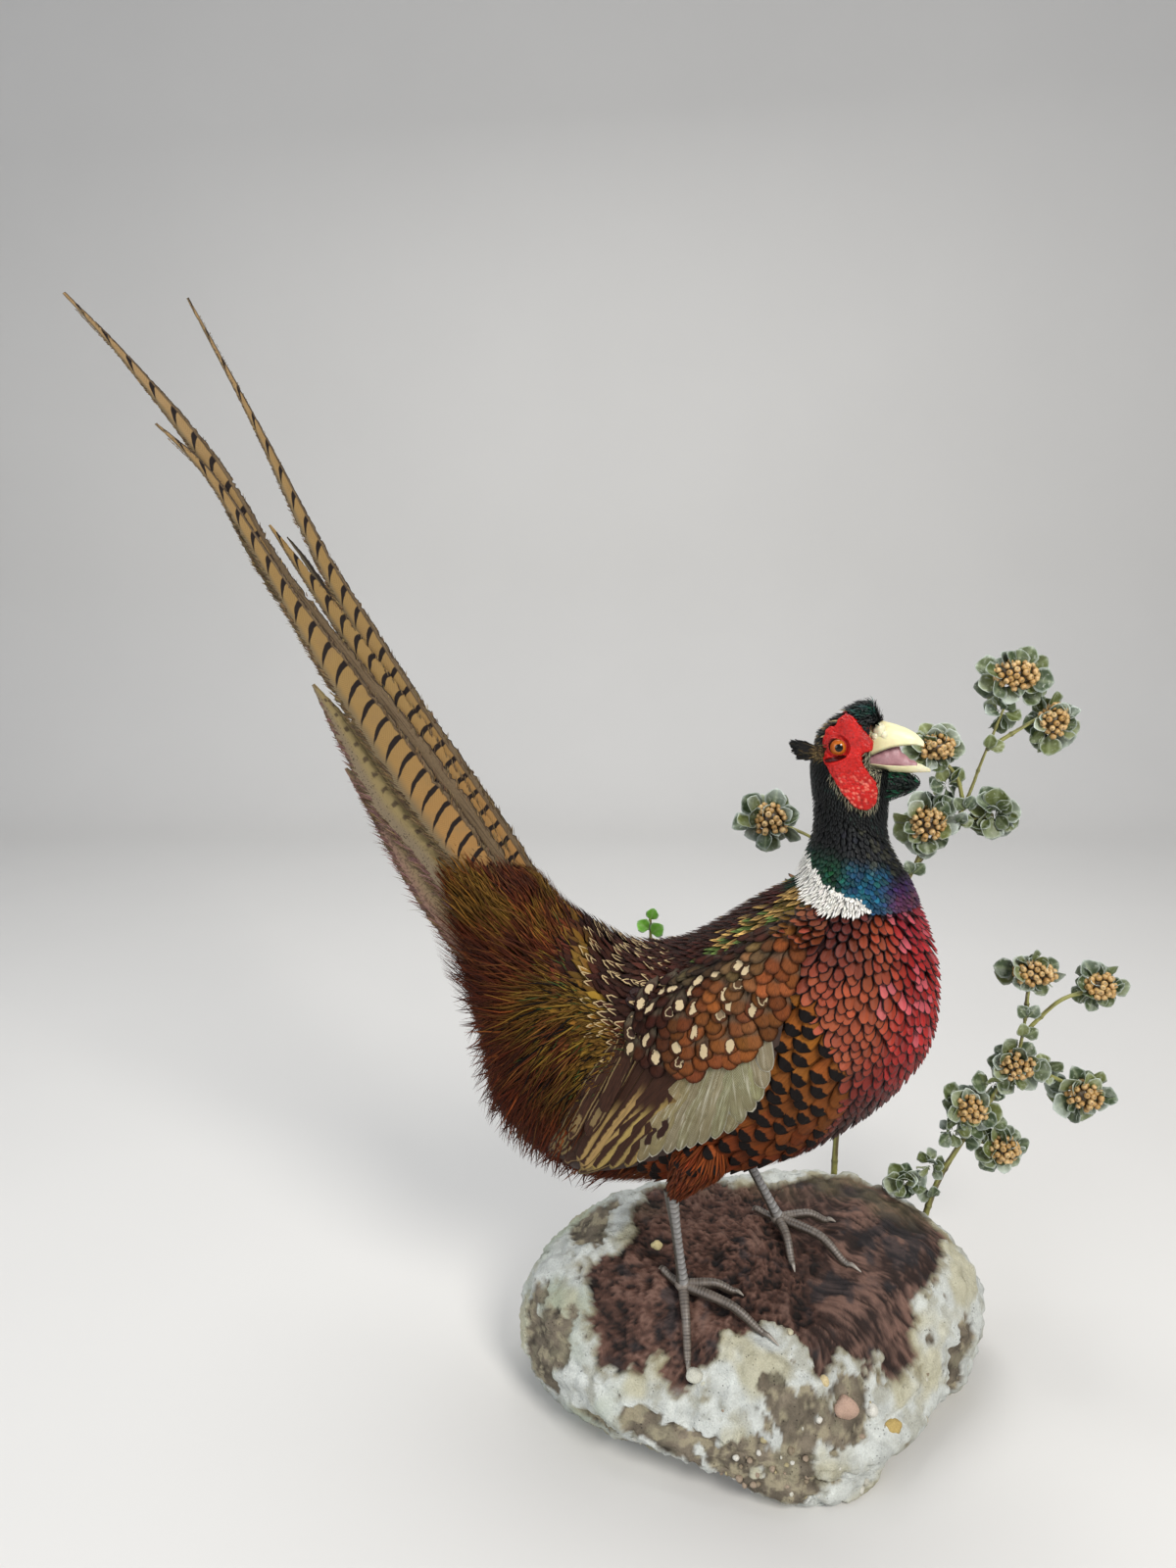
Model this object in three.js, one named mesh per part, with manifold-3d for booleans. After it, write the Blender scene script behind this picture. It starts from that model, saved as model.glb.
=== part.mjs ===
// A cock ring-necked pheasant mounted on a rock, life size, with sprigs of artificial berries.
// Millimetres, +Z up. The origin lies on the flat underside of the rock.
// The bird is drawn in its own axes: x forward along its body, y to its left, z up.

import * as THREE from 'three';
import { mergeVertices } from 'three/addons/utils/BufferGeometryUtils.js';
import Module from 'manifold-3d';

const wasm = await Module();
wasm.setup();

// ---------------------------------------------------------------- driving dimensions

const BIRD_ORIGIN = new THREE.Vector3(-17, -38, 0);
const BIRD_HEADING = THREE.MathUtils.degToRad(-15);
const GAP = 0.35;

const TRUNK_SIDES = 22;
const HEAD_SIDES = 16;
const HEAD_END = 8.5;
const NECK_END = 12;
const TRUNK_END = 23;

const EYE_RADIUS = 6.2;
const EYE_CENTRE = { x: 51.5, y: 13.2, z: 442.5 };
const WATTLE_RAISE = 1.9;
const WING_THICKNESS = 9;

const TAIL_ROOT = new THREE.Vector3(-155, -20, 318);
const TAIL_RISE = THREE.MathUtils.degToRad(54.4);
const TAIL_ROOF = THREE.MathUtils.degToRad(30);
const FEATHER_THICKNESS = 1.3;
const FEATHER_LAYER = 3.2;
const FEATHER_CAMBER = 0.35;
const LEFT_SLOPE_SHIFT = 12;

const ROCK_CENTRE = { x: 5, y: -22 };
const ROCK_TOP = 111;
const ROCK_SPOKES = 24;

const TARSUS_RADIUS = 3.0;
const TOE_RADIUS = 2.7;
const STEM_RADIUS = 2.3;
const TWIG_RADIUS = 1.5;

// ---------------------------------------------------------------- colours

const paint = (color, roughness = 0.8) =>
  new THREE.MeshStandardMaterial({ color, roughness, metalness: 0 });

const looks = {
  headGreen: paint(0x10201c, 0.5),
  wattle: paint(0xb5140f, 0.6),
  bill: paint(0xe6dfb4, 0.35),
  mouth: paint(0x9a6668, 0.5),
  iris: paint(0xc9640c, 0.1),
  breast: paint(0x8a3520, 0.6),
  rump: paint(0x5f2d18, 0.8),
  wing: paint(0x6e4328, 0.7),
  thigh: paint(0x8c4a22, 0.8),
  leg: paint(0x6d6660, 0.6),
  tail: paint(0x9c7b4b, 0.7),
  rock: paint(0x8d8780, 0.95),
  stem: paint(0x7b7442, 0.7),
  berries: paint(0xa78557, 0.5),
  leaves: paint(0x5c7458, 0.7),
  freshLeaf: paint(0x5a9a3c, 0.5),
};

// ---------------------------------------------------------------- solids

function signedVolume(geometry) {
  const index = geometry.index.array;
  const at = (i) => new THREE.Vector3().fromBufferAttribute(geometry.attributes.position, index[i]);
  let volume = 0;
  for (let i = 0; i < index.length; i += 3) {
    volume += at(i).dot(at(i + 1).cross(at(i + 2)));
  }
  return volume;
}

// A closed skin through rings of equal length, with a fan over each end.
function loft(rings) {
  const sides = rings[0].length;
  const points = rings.flat();
  const triangles = [];
  for (let r = 0; r + 1 < rings.length; r += 1) {
    for (let s = 0; s < sides; s += 1) {
      const a = r * sides + s;
      const b = r * sides + ((s + 1) % sides);
      triangles.push(a, b, a + sides, b, b + sides, a + sides);
    }
  }
  const addFan = (start, flip) => {
    const hub = new THREE.Vector3();
    for (let s = 0; s < sides; s += 1) hub.add(points[start + s]);
    const centre = points.push(hub.divideScalar(sides)) - 1;
    for (let s = 0; s < sides; s += 1) {
      const a = start + s;
      const b = start + ((s + 1) % sides);
      triangles.push(centre, flip ? a : b, flip ? b : a);
    }
  };
  addFan(0, false);
  addFan((rings.length - 1) * sides, true);
  const geometry = new THREE.BufferGeometry().setFromPoints(points);
  geometry.setIndex(triangles);
  if (signedVolume(geometry) < 0) geometry.setIndex(triangles.reverse());
  return geometry;
}

function toSolid(geometry) {
  const bare = geometry.clone();
  bare.deleteAttribute('normal');
  bare.deleteAttribute('uv');
  const merged = mergeVertices(bare, 1e-4);
  return new wasm.Manifold(new wasm.Mesh({
    numProp: 3,
    vertProperties: new Float32Array(merged.attributes.position.array),
    triVerts: new Uint32Array(merged.index.array),
  }));
}

// The largest closed body of a solid, which drops any sliver that a cut leaves behind.
function largestBody(solid) {
  const bodies = solid.decompose();
  return bodies.reduce((best, body) => (body.volume() > best.volume() ? body : best));
}

function toGeometry(solid) {
  const { vertProperties, triVerts } = largestBody(solid).getMesh();
  const geometry = new THREE.BufferGeometry();
  geometry.setAttribute('position', new THREE.BufferAttribute(new Float32Array(vertProperties), 3));
  geometry.setIndex(new THREE.BufferAttribute(new Uint32Array(triVerts), 1));
  geometry.computeVertexNormals();
  return geometry;
}

function named(name, solid, material) {
  const mesh = new THREE.Mesh(toGeometry(solid), material);
  mesh.name = name;
  return mesh;
}

const point = (x, y, z) => new THREE.Vector3(x, y, z);
const mirrored = (p) => point(p.x, -p.y, p.z);

// Value of evenly spaced samples at position u, with a smooth curve through them.
function smooth(samples, u) {
  const last = samples.length - 1;
  const i = Math.min(Math.floor(Math.max(u, 0)), last - 1);
  const f = Math.min(Math.max(u, 0), last) - i;
  const [a, b, c, d] = [-1, 0, 1, 2].map((k) => samples[Math.min(Math.max(i + k, 0), last)]);
  return b.map((_, n) => 0.5 * (2 * b[n] + (c[n] - a[n]) * f
    + (2 * a[n] - 5 * b[n] + 4 * c[n] - d[n]) * f * f
    + (3 * b[n] - a[n] - 3 * c[n] + d[n]) * f * f * f));
}

// A tube of changing radius along a smooth line of {at, r} knots.
function tube(knots, sides, stepsPerSpan = 3, grow = 0) {
  const curve = new THREE.CatmullRomCurve3(knots.map((k) => k.at), false, 'centripetal');
  const steps = (knots.length - 1) * stepsPerSpan;
  const frames = curve.computeFrenetFrames(steps, false);
  const rings = [];
  for (let i = 0; i <= steps; i += 1) {
    const t = i / steps;
    const centre = curve.getPoint(t);
    const [radius] = smooth(knots.map((k) => [k.r]), t * (knots.length - 1));
    rings.push(ringAround(centre, frames.normals[i], frames.binormals[i], radius + grow, sides));
  }
  return toSolid(loft(rings));
}

function ringAround(centre, across, up, radius, sides) {
  return Array.from({ length: sides }, (_, s) => {
    const angle = (s / sides) * 2 * Math.PI;
    return centre.clone()
      .addScaledVector(across, radius * Math.cos(angle))
      .addScaledVector(up, radius * Math.sin(angle));
  });
}

function ball(centre, radii, widthSegments, heightSegments) {
  const geometry = new THREE.SphereGeometry(1, widthSegments, heightSegments);
  geometry.scale(radii.x, radii.y, radii.z);
  geometry.translate(centre.x, centre.y, centre.z);
  return toSolid(geometry);
}

// ---------------------------------------------------------------- the body's form

// Slices of head, neck, trunk and rump from the forehead to the root of the tail:
// the dorsal point (x, z), the ventral point (x, z), the half width, and how far the
// widest place lies above the middle of the slice.
const SLICES = [
  [76, 455, 80, 427, 7.5, 0],
  [72, 462, 80.3, 422, 11.5, 0],
  [67.5, 467.5, 80.5, 416, 15, 0.05],
  [61, 465.5, 80.7, 411, 17, 0.1],
  [52, 459.5, 80.7, 406, 18.5, 0.1],
  [44, 452, 80.6, 401.5, 19, 0.1],
  [38.3, 443.5, 80.5, 397.5, 19, 0.05],
  [35.6, 431, 80.7, 394, 19, 0],
  [36.5, 419, 81.3, 390.5, 19.5, 0],
  [38.5, 404, 82.5, 386.5, 20, 0],
  [38.5, 391, 86, 379, 21.5, 0],
  [35, 377.5, 91, 371, 25, 0],
  [29, 363, 96.5, 362, 33, 0],
  [15, 352, 104, 345, 45, 0],
  [0, 341, 111, 327, 54, 0],
  [-24, 324, 115.5, 303, 60, 0],
  [-42, 314, 114, 272, 61, 0],
  [-55, 310.5, 103, 247, 61, 0],
  [-66, 310, 80, 219, 61, 0],
  [-76, 311, 44, 190, 60, 0],
  [-86, 316, 0, 170, 58, 0],
  [-96, 323, -45, 157, 55, 0],
  [-104, 328, -90, 152, 51, 0],
  [-110, 332, -125, 166, 47, 0],
  [-116, 337, -152, 191, 43, 0],
  [-120, 341, -161, 226, 40, 0],
  [-124, 346, -170, 262, 37, 0],
  [-130, 352, -180, 291, 33, 0],
];

// The point of the body at slice u and angle round it (0 on the back, half a turn on the
// belly, positive to the left), moved outwards by grow and along the body by shift.
function bodyPoint(u, angle, grow = 0, shift = 0) {
  const [dx, dz, vx, vz, half, lift] = smooth(SLICES, u);
  const height = Math.hypot(dx - vx, dz - vz) / 2;
  const ax = (dx - vx) / 2 / height;
  const az = (dz - vz) / 2 / height;
  const v = (Math.cos(angle) + lift * Math.sin(angle) ** 2) * (height + grow);
  return point(
    (dx + vx) / 2 + ax * v - az * shift,
    (half + grow) * Math.sin(angle),
    (dz + vz) / 2 + az * v + ax * shift,
  );
}

// The body between two slices. A positive reach moves both end faces outwards.
function bodySpan(from, to, grow = 0, reach = -GAP / 2) {
  const sides = to > NECK_END ? TRUNK_SIDES : HEAD_SIDES;
  const ringsPerSlice = to > NECK_END ? 1.4 : 1;
  const count = Math.ceil((to - from) * ringsPerSlice);
  const rings = [];
  for (let i = 0; i <= count; i += 1) {
    const u = from + ((to - from) * i) / count;
    const shift = i === 0 ? -reach : (i === count ? reach : 0);
    const ring = Array.from({ length: sides }, (_, s) =>
      bodyPoint(u, (s / sides) * 2 * Math.PI, grow, shift));
    rings.push(ring);
  }
  return toSolid(loft(rings));
}

const headRoom = bodySpan(0, HEAD_END, GAP, GAP);
const trunkRoom = bodySpan(NECK_END, TRUNK_END, GAP, GAP);
const rumpRoom = bodySpan(TRUNK_END, SLICES.length - 1, GAP, GAP);

// ---------------------------------------------------------------- head

const eyeBall = (side, grow) => ball(
  point(EYE_CENTRE.x, side * EYE_CENTRE.y, EYE_CENTRE.z),
  point(EYE_RADIUS + grow, EYE_RADIUS + grow, EYE_RADIUS + grow), 10, 7);

function makeEye(name, side) {
  return named(name, eyeBall(side, 0), looks.iris);
}

function makeHead() {
  const head = bodySpan(0, HEAD_END)
    .subtract(eyeBall(1, GAP))
    .subtract(eyeBall(-1, GAP));
  return named('head', head, looks.headGreen);
}

// The bare red skin of the face, seen from the side.
const WATTLE_OUTLINE = [
  [52.2, 460.8], [58.6, 461], [69.8, 447.6], [70, 442], [65, 438.5], [73.2, 424],
  [73.1, 413.5], [68.3, 409.9], [61, 412.1], [44.2, 434.5], [43.1, 449.3], [48.3, 453.2],
];

function makeWattle(name, side) {
  const shape = new THREE.Shape(WATTLE_OUTLINE.map(([x, z]) => new THREE.Vector2(x, z)));
  const geometry = new THREE.ExtrudeGeometry(shape, { depth: 40, bevelEnabled: false });
  geometry.rotateX(Math.PI / 2);
  if (side > 0) geometry.translate(0, 41, 0);
  const raised = bodySpan(0, HEAD_END, WATTLE_RAISE);
  const wattle = toSolid(geometry).intersect(raised).subtract(headRoom)
    .subtract(eyeBall(side, GAP));
  return named(name, wattle, looks.wattle);
}

// One half of the bill: slices {x, top, bottom, half} with a rounded outer side, and the
// inner side hollowed by a share of the depth.
function billHalf(slices, outerIsTop, hollow, grow = 0) {
  const sides = 10;
  const samples = slices.map((s) => [s.x, s.top, s.bottom, s.half]);
  const steps = slices.length + 1;
  const rings = [];
  for (let i = 0; i <= steps; i += 1) {
    const [x, top, bottom, half] = smooth(samples, (i / steps) * (slices.length - 1));
    const edge = outerIsTop ? bottom : top;
    const crest = outerIsTop ? top : bottom;
    const ring = Array.from({ length: sides }, (_, s) => {
      const angle = (s / sides) * 2 * Math.PI;
      const outward = Math.sin(angle);
      const reach = outward > 0 ? outward * (crest - edge) : -outward * hollow * (crest - edge);
      const stretch = outward > 0 ? Math.sign(crest - edge) * grow : -Math.sign(crest - edge) * grow;
      return point(x, (half + grow) * Math.cos(angle), edge + reach + stretch * Math.abs(outward));
    });
    rings.push(ring);
  }
  return toSolid(loft(rings));
}

const UPPER_BILL = [
  { x: 66, top: 456, bottom: 436, half: 8 },
  { x: 72, top: 456.6, bottom: 438.8, half: 8 },
  { x: 77, top: 455.4, bottom: 441, half: 7.4 },
  { x: 82, top: 454.2, bottom: 442.6, half: 6.6 },
  { x: 88, top: 452.1, bottom: 443.4, half: 5.2 },
  { x: 93, top: 449.3, bottom: 443.6, half: 3.6 },
  { x: 97.4, top: 445, bottom: 442.4, half: 1.2 },
];

const LOWER_BILL = [
  { x: 66, top: 433, bottom: 429, half: 8 },
  { x: 73, top: 432.6, bottom: 428, half: 7.6 },
  { x: 80, top: 432, bottom: 427.2, half: 6.8 },
  { x: 88, top: 432, bottom: 427, half: 5.6 },
  { x: 95, top: 432, bottom: 427.4, half: 4 },
  { x: 101.8, top: 429.6, bottom: 428, half: 1 },
];

const TONGUE = [
  { x: 68, top: 438, bottom: 431, half: 5.6 },
  { x: 76, top: 439.2, bottom: 431, half: 5.2 },
  { x: 83, top: 440, bottom: 431, half: 4.4 },
  { x: 88, top: 436.5, bottom: 431, half: 3.4 },
  { x: 94, top: 432.6, bottom: 430.5, half: 1.6 },
];

// The dark beard of small feathers under the bill.
const THROAT = [
  { at: point(77, 0, 418), r: 8.6 },
  { at: point(86, 0, 420.6), r: 6.4 },
  { at: point(92, 0, 421), r: 5.4 },
  { at: point(96.5, 0, 421.4), r: 3.4 },
];

function makeMouth() {
  const upper = billHalf(UPPER_BILL, true, 0.18).subtract(headRoom);
  const lower = billHalf(LOWER_BILL, false, 0.25).subtract(headRoom);
  const upperRoom = billHalf(UPPER_BILL, true, 0.18, GAP);
  const lowerRoom = billHalf(LOWER_BILL, false, 0.25, GAP);
  const tongue = billHalf(TONGUE, true, 0)
    .subtract(headRoom).subtract(lowerRoom).subtract(upperRoom);
  const throat = tube(THROAT, 8, 1).subtract(headRoom).subtract(lowerRoom);
  return [
    named('bill_upper', upper, looks.bill),
    named('bill_lower', lower, looks.bill),
    named('tongue', tongue, looks.mouth),
    named('throat_tuft', throat, looks.headGreen),
  ];
}

// A horn of feathers behind the eye, widening to a ragged square end.
function makeEarTuft(name, side) {
  const spread = [[41, 14, 441.5, 441, 435], [33, 17, 441, 445, 434], [28.5, 18, 440, 445, 436.5]];
  const rings = spread.map(([x, y, , top, bottom], i) => {
    const thin = 3.2 - i;
    return [
      point(x, side * (y - thin), bottom), point(x, side * (y + thin), bottom),
      point(x - 0.8 * i, side * (y + thin), top), point(x - 0.8 * i, side * (y - thin), top),
    ];
  });
  return named(name, toSolid(loft(rings)).subtract(headRoom), looks.headGreen);
}

// ---------------------------------------------------------------- wings

// Upper and lower edge of the folded wing as slice and degrees round the body, from the
// bend of the wing to its tip.
const WING_EDGES = [
  [12.9, 50, 12.9, 62],
  [13.8, 44, 13.8, 73],
  [15.2, 40, 15.2, 82],
  [16.7, 41, 16.6, 91],
  [18.2, 49, 17.9, 101],
  [19.6, 66, 19.2, 113],
  [20.8, 90, 20.4, 126],
  [21.7, 113, 21.3, 139],
  [22.5, 140, 22.3, 151],
];

function wingSolid(side, grow = 0) {
  const rows = 10;
  const columns = 5;
  const rings = [];
  for (let i = 0; i <= rows; i += 1) {
    const along = i / rows;
    const [uTop, degTop, uLow, degLow] = smooth(WING_EDGES, along * (WING_EDGES.length - 1));
    const depth = WING_THICKNESS * (0.55 + 0.45 * Math.sin(Math.PI * Math.min(along * 1.15, 1)));
    const outer = [];
    const inner = [];
    for (let j = 0; j <= columns; j += 1) {
      const across = j / columns;
      const u = THREE.MathUtils.lerp(uTop, uLow, across);
      const angle = side * THREE.MathUtils.degToRad(THREE.MathUtils.lerp(degTop, degLow, across));
      const lens = 0.3 + 0.7 * Math.sin(Math.PI * across) ** 0.6;
      outer.push(bodyPoint(u, angle, depth * lens + grow));
      inner.unshift(bodyPoint(u, angle, -4));
    }
    rings.push([...outer, ...inner]);
  }
  return toSolid(loft(rings));
}

function makeWing(name, side) {
  return named(name, wingSolid(side).subtract(trunkRoom), looks.wing);
}

// ---------------------------------------------------------------- rock

// Radii of the rock's underside and of its widest girth at even angles, starting at +x.
const ROCK_FOOT = [134, 126, 112, 100, 100, 118, 144, 102, 72, 96, 102, 84];
const ROCK_GIRTH = [149, 155, 132, 104, 112, 146, 157, 132, 108, 111, 108, 116];

function around(radii, angle) {
  const count = radii.length;
  const u = ((angle / (2 * Math.PI)) * count + count) % count;
  const window = [-1, 0, 1, 2].map((k) => [radii[(Math.floor(u) + k + count) % count]]);
  return smooth(window, 1 + (u % 1))[0];
}

const lumps = (x, y) => Math.sin(0.09 * x + 1.3) * Math.cos(0.11 * y + 0.7)
  + 0.6 * Math.sin(0.21 * x - 0.17 * y);

// Height of the rock's top at a place: nearly level, sloping down to the front, with a
// shallow hollow before the left foot and a shoulder towards the edge.
function rockTop(x, y) {
  const dx = x - ROCK_CENTRE.x;
  const dy = y - ROCK_CENTRE.y;
  const share = Math.hypot(dx, dy) / around(ROCK_GIRTH, Math.atan2(dy, dx));
  const slope = 0.35 * Math.max(0, -25 - y);
  const hollow = 7 * Math.exp(-((x - 35) ** 2 + (y + 50) ** 2) / 1800);
  const shoulder = 190 * Math.max(0, share - 0.5) ** 2;
  return ROCK_TOP - slope - hollow - shoulder + 1.2 * lumps(x, y);
}

function rockSolid(grow = 0) {
  const sideLevels = [[0, 0], [0.2, 0.3], [0.46, 0.85], [0.75, 1.01]];
  const topShares = [0.95, 0.87, 0.77, 0.65, 0.52, 0.38, 0.24, 0.1];
  const place = (angle, radius) => [
    ROCK_CENTRE.x + radius * Math.cos(angle),
    ROCK_CENTRE.y + radius * Math.sin(angle),
  ];
  const angles = Array.from({ length: ROCK_SPOKES }, (_, s) => (s / ROCK_SPOKES) * 2 * Math.PI);
  const sideRing = ([height, bulge]) => angles.map((angle) => {
    const girth = around(ROCK_GIRTH, angle);
    const foot = around(ROCK_FOOT, angle);
    const [ex, ey] = place(angle, girth * topShares[0]);
    const [x, y] = place(angle, THREE.MathUtils.lerp(foot, girth, bulge) + grow);
    const z = height * rockTop(ex, ey);
    const ripple = height > 0 ? 2.5 * Math.sin(5 * angle + 9 * height) : 0;
    return point(x + ripple * Math.cos(angle), y + ripple * Math.sin(angle), z);
  });
  const topRing = (share) => angles.map((angle) => {
    const [x, y] = place(angle, around(ROCK_GIRTH, angle) * share);
    const spread = share === topShares[0] ? grow : 0;
    return point(x + spread * Math.cos(angle), y + spread * Math.sin(angle), rockTop(x, y) + grow);
  });
  return toSolid(loft([...sideLevels.map(sideRing), ...topShares.map(topRing)]));
}

const rockRoom = rockSolid(GAP);

// ---------------------------------------------------------------- legs

const bird = new THREE.Group();
bird.position.copy(BIRD_ORIGIN);
bird.rotation.z = BIRD_HEADING;
bird.updateMatrixWorld();

const toWorld = (p) => p.clone().applyMatrix4(bird.matrixWorld);
const toBird = (p) => p.clone().applyMatrix4(bird.matrixWorld.clone().invert());

// The rock as seen in the bird's own axes.
const turnToBird = (solid) => solid
  .translate([-BIRD_ORIGIN.x, -BIRD_ORIGIN.y, 0])
  .rotate([0, 0, -THREE.MathUtils.radToDeg(BIRD_HEADING)]);
const rockRoomForBird = turnToBird(rockRoom);

// Each leg: ankle and foot joint in the bird's axes, the thigh's middle, and toe tips as
// steps from the foot joint {ahead, left, arch} with the arch lifting the toe's middle.
const LEGS = [
  {
    name: 'right', ankle: point(-34, -34, 161), foot: [-26, -34], thigh: point(-16, -38, 198),
    toes: [
      { x: 61, y: -12.5, arch: 5, lift: 0 },
      { x: 10, y: -32.5, arch: 4, lift: 0 },
      { x: 37, y: 6, arch: 8, lift: 4 },
      { x: -17, y: 9, arch: 1, lift: 2 },
    ],
  },
  {
    name: 'left', ankle: point(-7, 34, 174), foot: [26, 34], thigh: point(-4, 38, 205),
    toes: [
      { x: 55, y: -22.5, arch: 5, lift: 0 },
      { x: 14, y: -31.5, arch: 4, lift: 0 },
      { x: 37, y: 9, arch: 8, lift: 4 },
      { x: -18, y: 5, arch: 1, lift: 2 },
    ],
  },
];

function onRock(x, y, lift) {
  const world = toWorld(point(x, y, 0));
  return toBird(point(world.x, world.y, rockTop(world.x, world.y) + lift));
}

function toeSolid(joint, toe) {
  const middle = onRock(joint.x + toe.x * 0.5, joint.y + toe.y * 0.5, TOE_RADIUS + toe.arch);
  const pad = onRock(joint.x + toe.x * 0.8, joint.y + toe.y * 0.8, TOE_RADIUS * 0.6 + toe.lift);
  const tip = onRock(joint.x + toe.x, joint.y + toe.y, 0.5 + toe.lift * 0.5);
  return tube([
    { at: joint, r: TOE_RADIUS * 1.15 },
    { at: middle, r: TOE_RADIUS },
    { at: pad, r: TOE_RADIUS * 0.8 },
    { at: tip, r: 0.6 },
  ], 5, 1);
}

function makeLeg(leg) {
  const joint = onRock(leg.foot[0], leg.foot[1], TOE_RADIUS + 3);
  const shin = tube([
    { at: leg.ankle, r: TARSUS_RADIUS * 1.3 },
    { at: leg.ankle.clone().lerp(joint, 0.25), r: TARSUS_RADIUS },
    { at: leg.ankle.clone().lerp(joint, 0.8), r: TARSUS_RADIUS },
    { at: joint, r: TARSUS_RADIUS * 1.3 },
  ], 7, 1);
  const foot = leg.toes.reduce((solid, toe) => solid.add(toeSolid(joint, toe)), shin);
  return named(`leg_${leg.name}`, foot.subtract(rockRoomForBird), looks.leg);
}

function makeThigh(leg) {
  const up = leg.thigh.clone().sub(leg.ankle).normalize();
  const end = leg.ankle.clone().addScaledVector(up, GAP * 1.4);
  const thigh = tube([
    { at: leg.thigh, r: 19 },
    { at: leg.thigh.clone().lerp(leg.ankle, 0.45), r: 13 },
    { at: leg.thigh.clone().lerp(leg.ankle, 0.8), r: 7.5 },
    { at: end, r: 4.5 },
  ], 9, 1);
  const ankleRoom = ball(leg.ankle, point(5, 5, 5), 10, 6);
  const side = Math.sign(leg.ankle.y);
  const trimmed = thigh.subtract(trunkRoom).subtract(wingSolid(side, GAP)).subtract(ankleRoom);
  return named(`thigh_${leg.name}`, trimmed, looks.thigh);
}

// ---------------------------------------------------------------- tail

// Directions of the tail's right-hand slope: along it, across it towards the ridge, and
// out of its face.
const tailAlong = point(-Math.cos(TAIL_RISE), 0, Math.sin(TAIL_RISE));
const tailAcross = point(
  Math.sin(TAIL_RISE) * Math.cos(TAIL_ROOF),
  Math.sin(TAIL_ROOF),
  Math.cos(TAIL_RISE) * Math.cos(TAIL_ROOF),
);
const tailFace = tailAcross.clone().cross(tailAlong);

// Each tail feather by knots [distance along, place across, width] and its layer; a side
// of 1 mirrors it to the tail's left slope.
const TAIL_FEATHERS = [
  {
    name: 'tail_centre_long',
    side: -1,
    layer: 1,
    knots: [
      [-30, 24, 14], [56, 25, 22], [141, 21.5, 22], [250, 15, 17], [335, 21, 12], [415, 14.7, 5.5],
      [469, 6, 2],
    ],
  },
  {
    name: 'tail_centre_second',
    side: -1,
    layer: -1,
    knots: [
      [-30, 36, 14], [50, 37, 22], [135, 38, 19], [197, 42, 14], [250, 45.5, 11], [344, 58.4, 5],
      [434, 68, 1.6],
    ],
  },
  {
    name: 'tail_inner_right',
    side: -1,
    layer: 2,
    knots: [
      [-30, 20, 14], [38, 16, 24], [79, 14, 27], [160, 13, 22], [219, 13, 15], [257, 14.5, 10],
      [328, 16, 6], [371, 7, 1.6],
    ],
  },
  {
    name: 'tail_ridge_right',
    side: -1,
    layer: 0,
    knots: [[-30, 30, 12], [100, 33, 16], [203, 32, 11], [246, 31, 7], [285, 29.8, 1.6]],
  },
  {
    name: 'tail_outer_right',
    side: -1,
    layer: 0,
    knots: [[-30, 4, 14], [28, 0, 24], [68, -3, 22], [102, -6.5, 21], [150, -4, 14], [187, -3.5, 2]],
  },
  {
    name: 'tail_edge_right',
    side: -1,
    layer: -1,
    knots: [[-30, -10, 14], [8, -14, 22], [43, -15, 22], [70, -14, 20], [100, -13, 14], [133, -16, 2]],
  },
  {
    name: 'tail_inner_left',
    side: 1,
    layer: 2,
    knots: [[-30, 20, 14], [79, 14, 26], [160, 13, 20], [215, 14, 13], [262, 16, 6], [284, 14, 1.6]],
  },
  {
    name: 'tail_ridge_left',
    side: 1,
    layer: 1,
    knots: [[-30, 26, 12], [80, 27, 18], [140, 25, 13], [180, 24, 8], [206, 22, 1.6]],
  },
  {
    name: 'tail_outer_left',
    side: 1,
    layer: 0,
    knots: [[-30, 4, 14], [28, 0, 24], [68, -3, 22], [102, -6.5, 21], [142, -4, 14], [176, -5, 2]],
  },
  {
    name: 'tail_edge_left',
    side: 1,
    layer: -1,
    knots: [[-30, -10, 14], [8, -14, 22], [43, -15, 22], [66, -14, 20], [94, -13, 14], [124, -16, 2]],
  },
];

function featherSolid(feather) {
  const spans = feather.knots.length - 1;
  const steps = Math.ceil(spans * 1.4);
  const rings = [];
  for (let i = 0; i <= steps; i += 1) {
    const [along, across, width] = smooth(feather.knots, (i / steps) * spans);
    const centre = TAIL_ROOT.clone()
      .addScaledVector(tailAlong, along)
      .addScaledVector(tailAcross, across)
      .addScaledVector(tailFace, feather.layer * FEATHER_LAYER);
    const half = width / 2;
    const skin = FEATHER_THICKNESS / 2;
    const ring = [
      [-half, -skin], [0, FEATHER_CAMBER - skin], [half, -skin],
      [half, skin], [0, FEATHER_CAMBER + skin], [-half, skin],
    ];
    rings.push(ring.map(([w, n]) => centre.clone()
      .addScaledVector(tailAcross, w)
      .addScaledVector(tailFace, n)));
  }
  const placed = feather.side < 0 ? rings : rings.map((ring) => ring.map(leftSlope));
  return toSolid(loft(placed));
}

// The left slope mirrors the right one, set further from the middle to clear the ridge.
const leftSlope = (p) => mirrored(p).add(point(0, LEFT_SLOPE_SHIFT, 0));

function makeTailFeather(feather) {
  return named(feather.name, featherSolid(feather).subtract(rumpRoom), looks.tail);
}

// ---------------------------------------------------------------- sprigs

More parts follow.
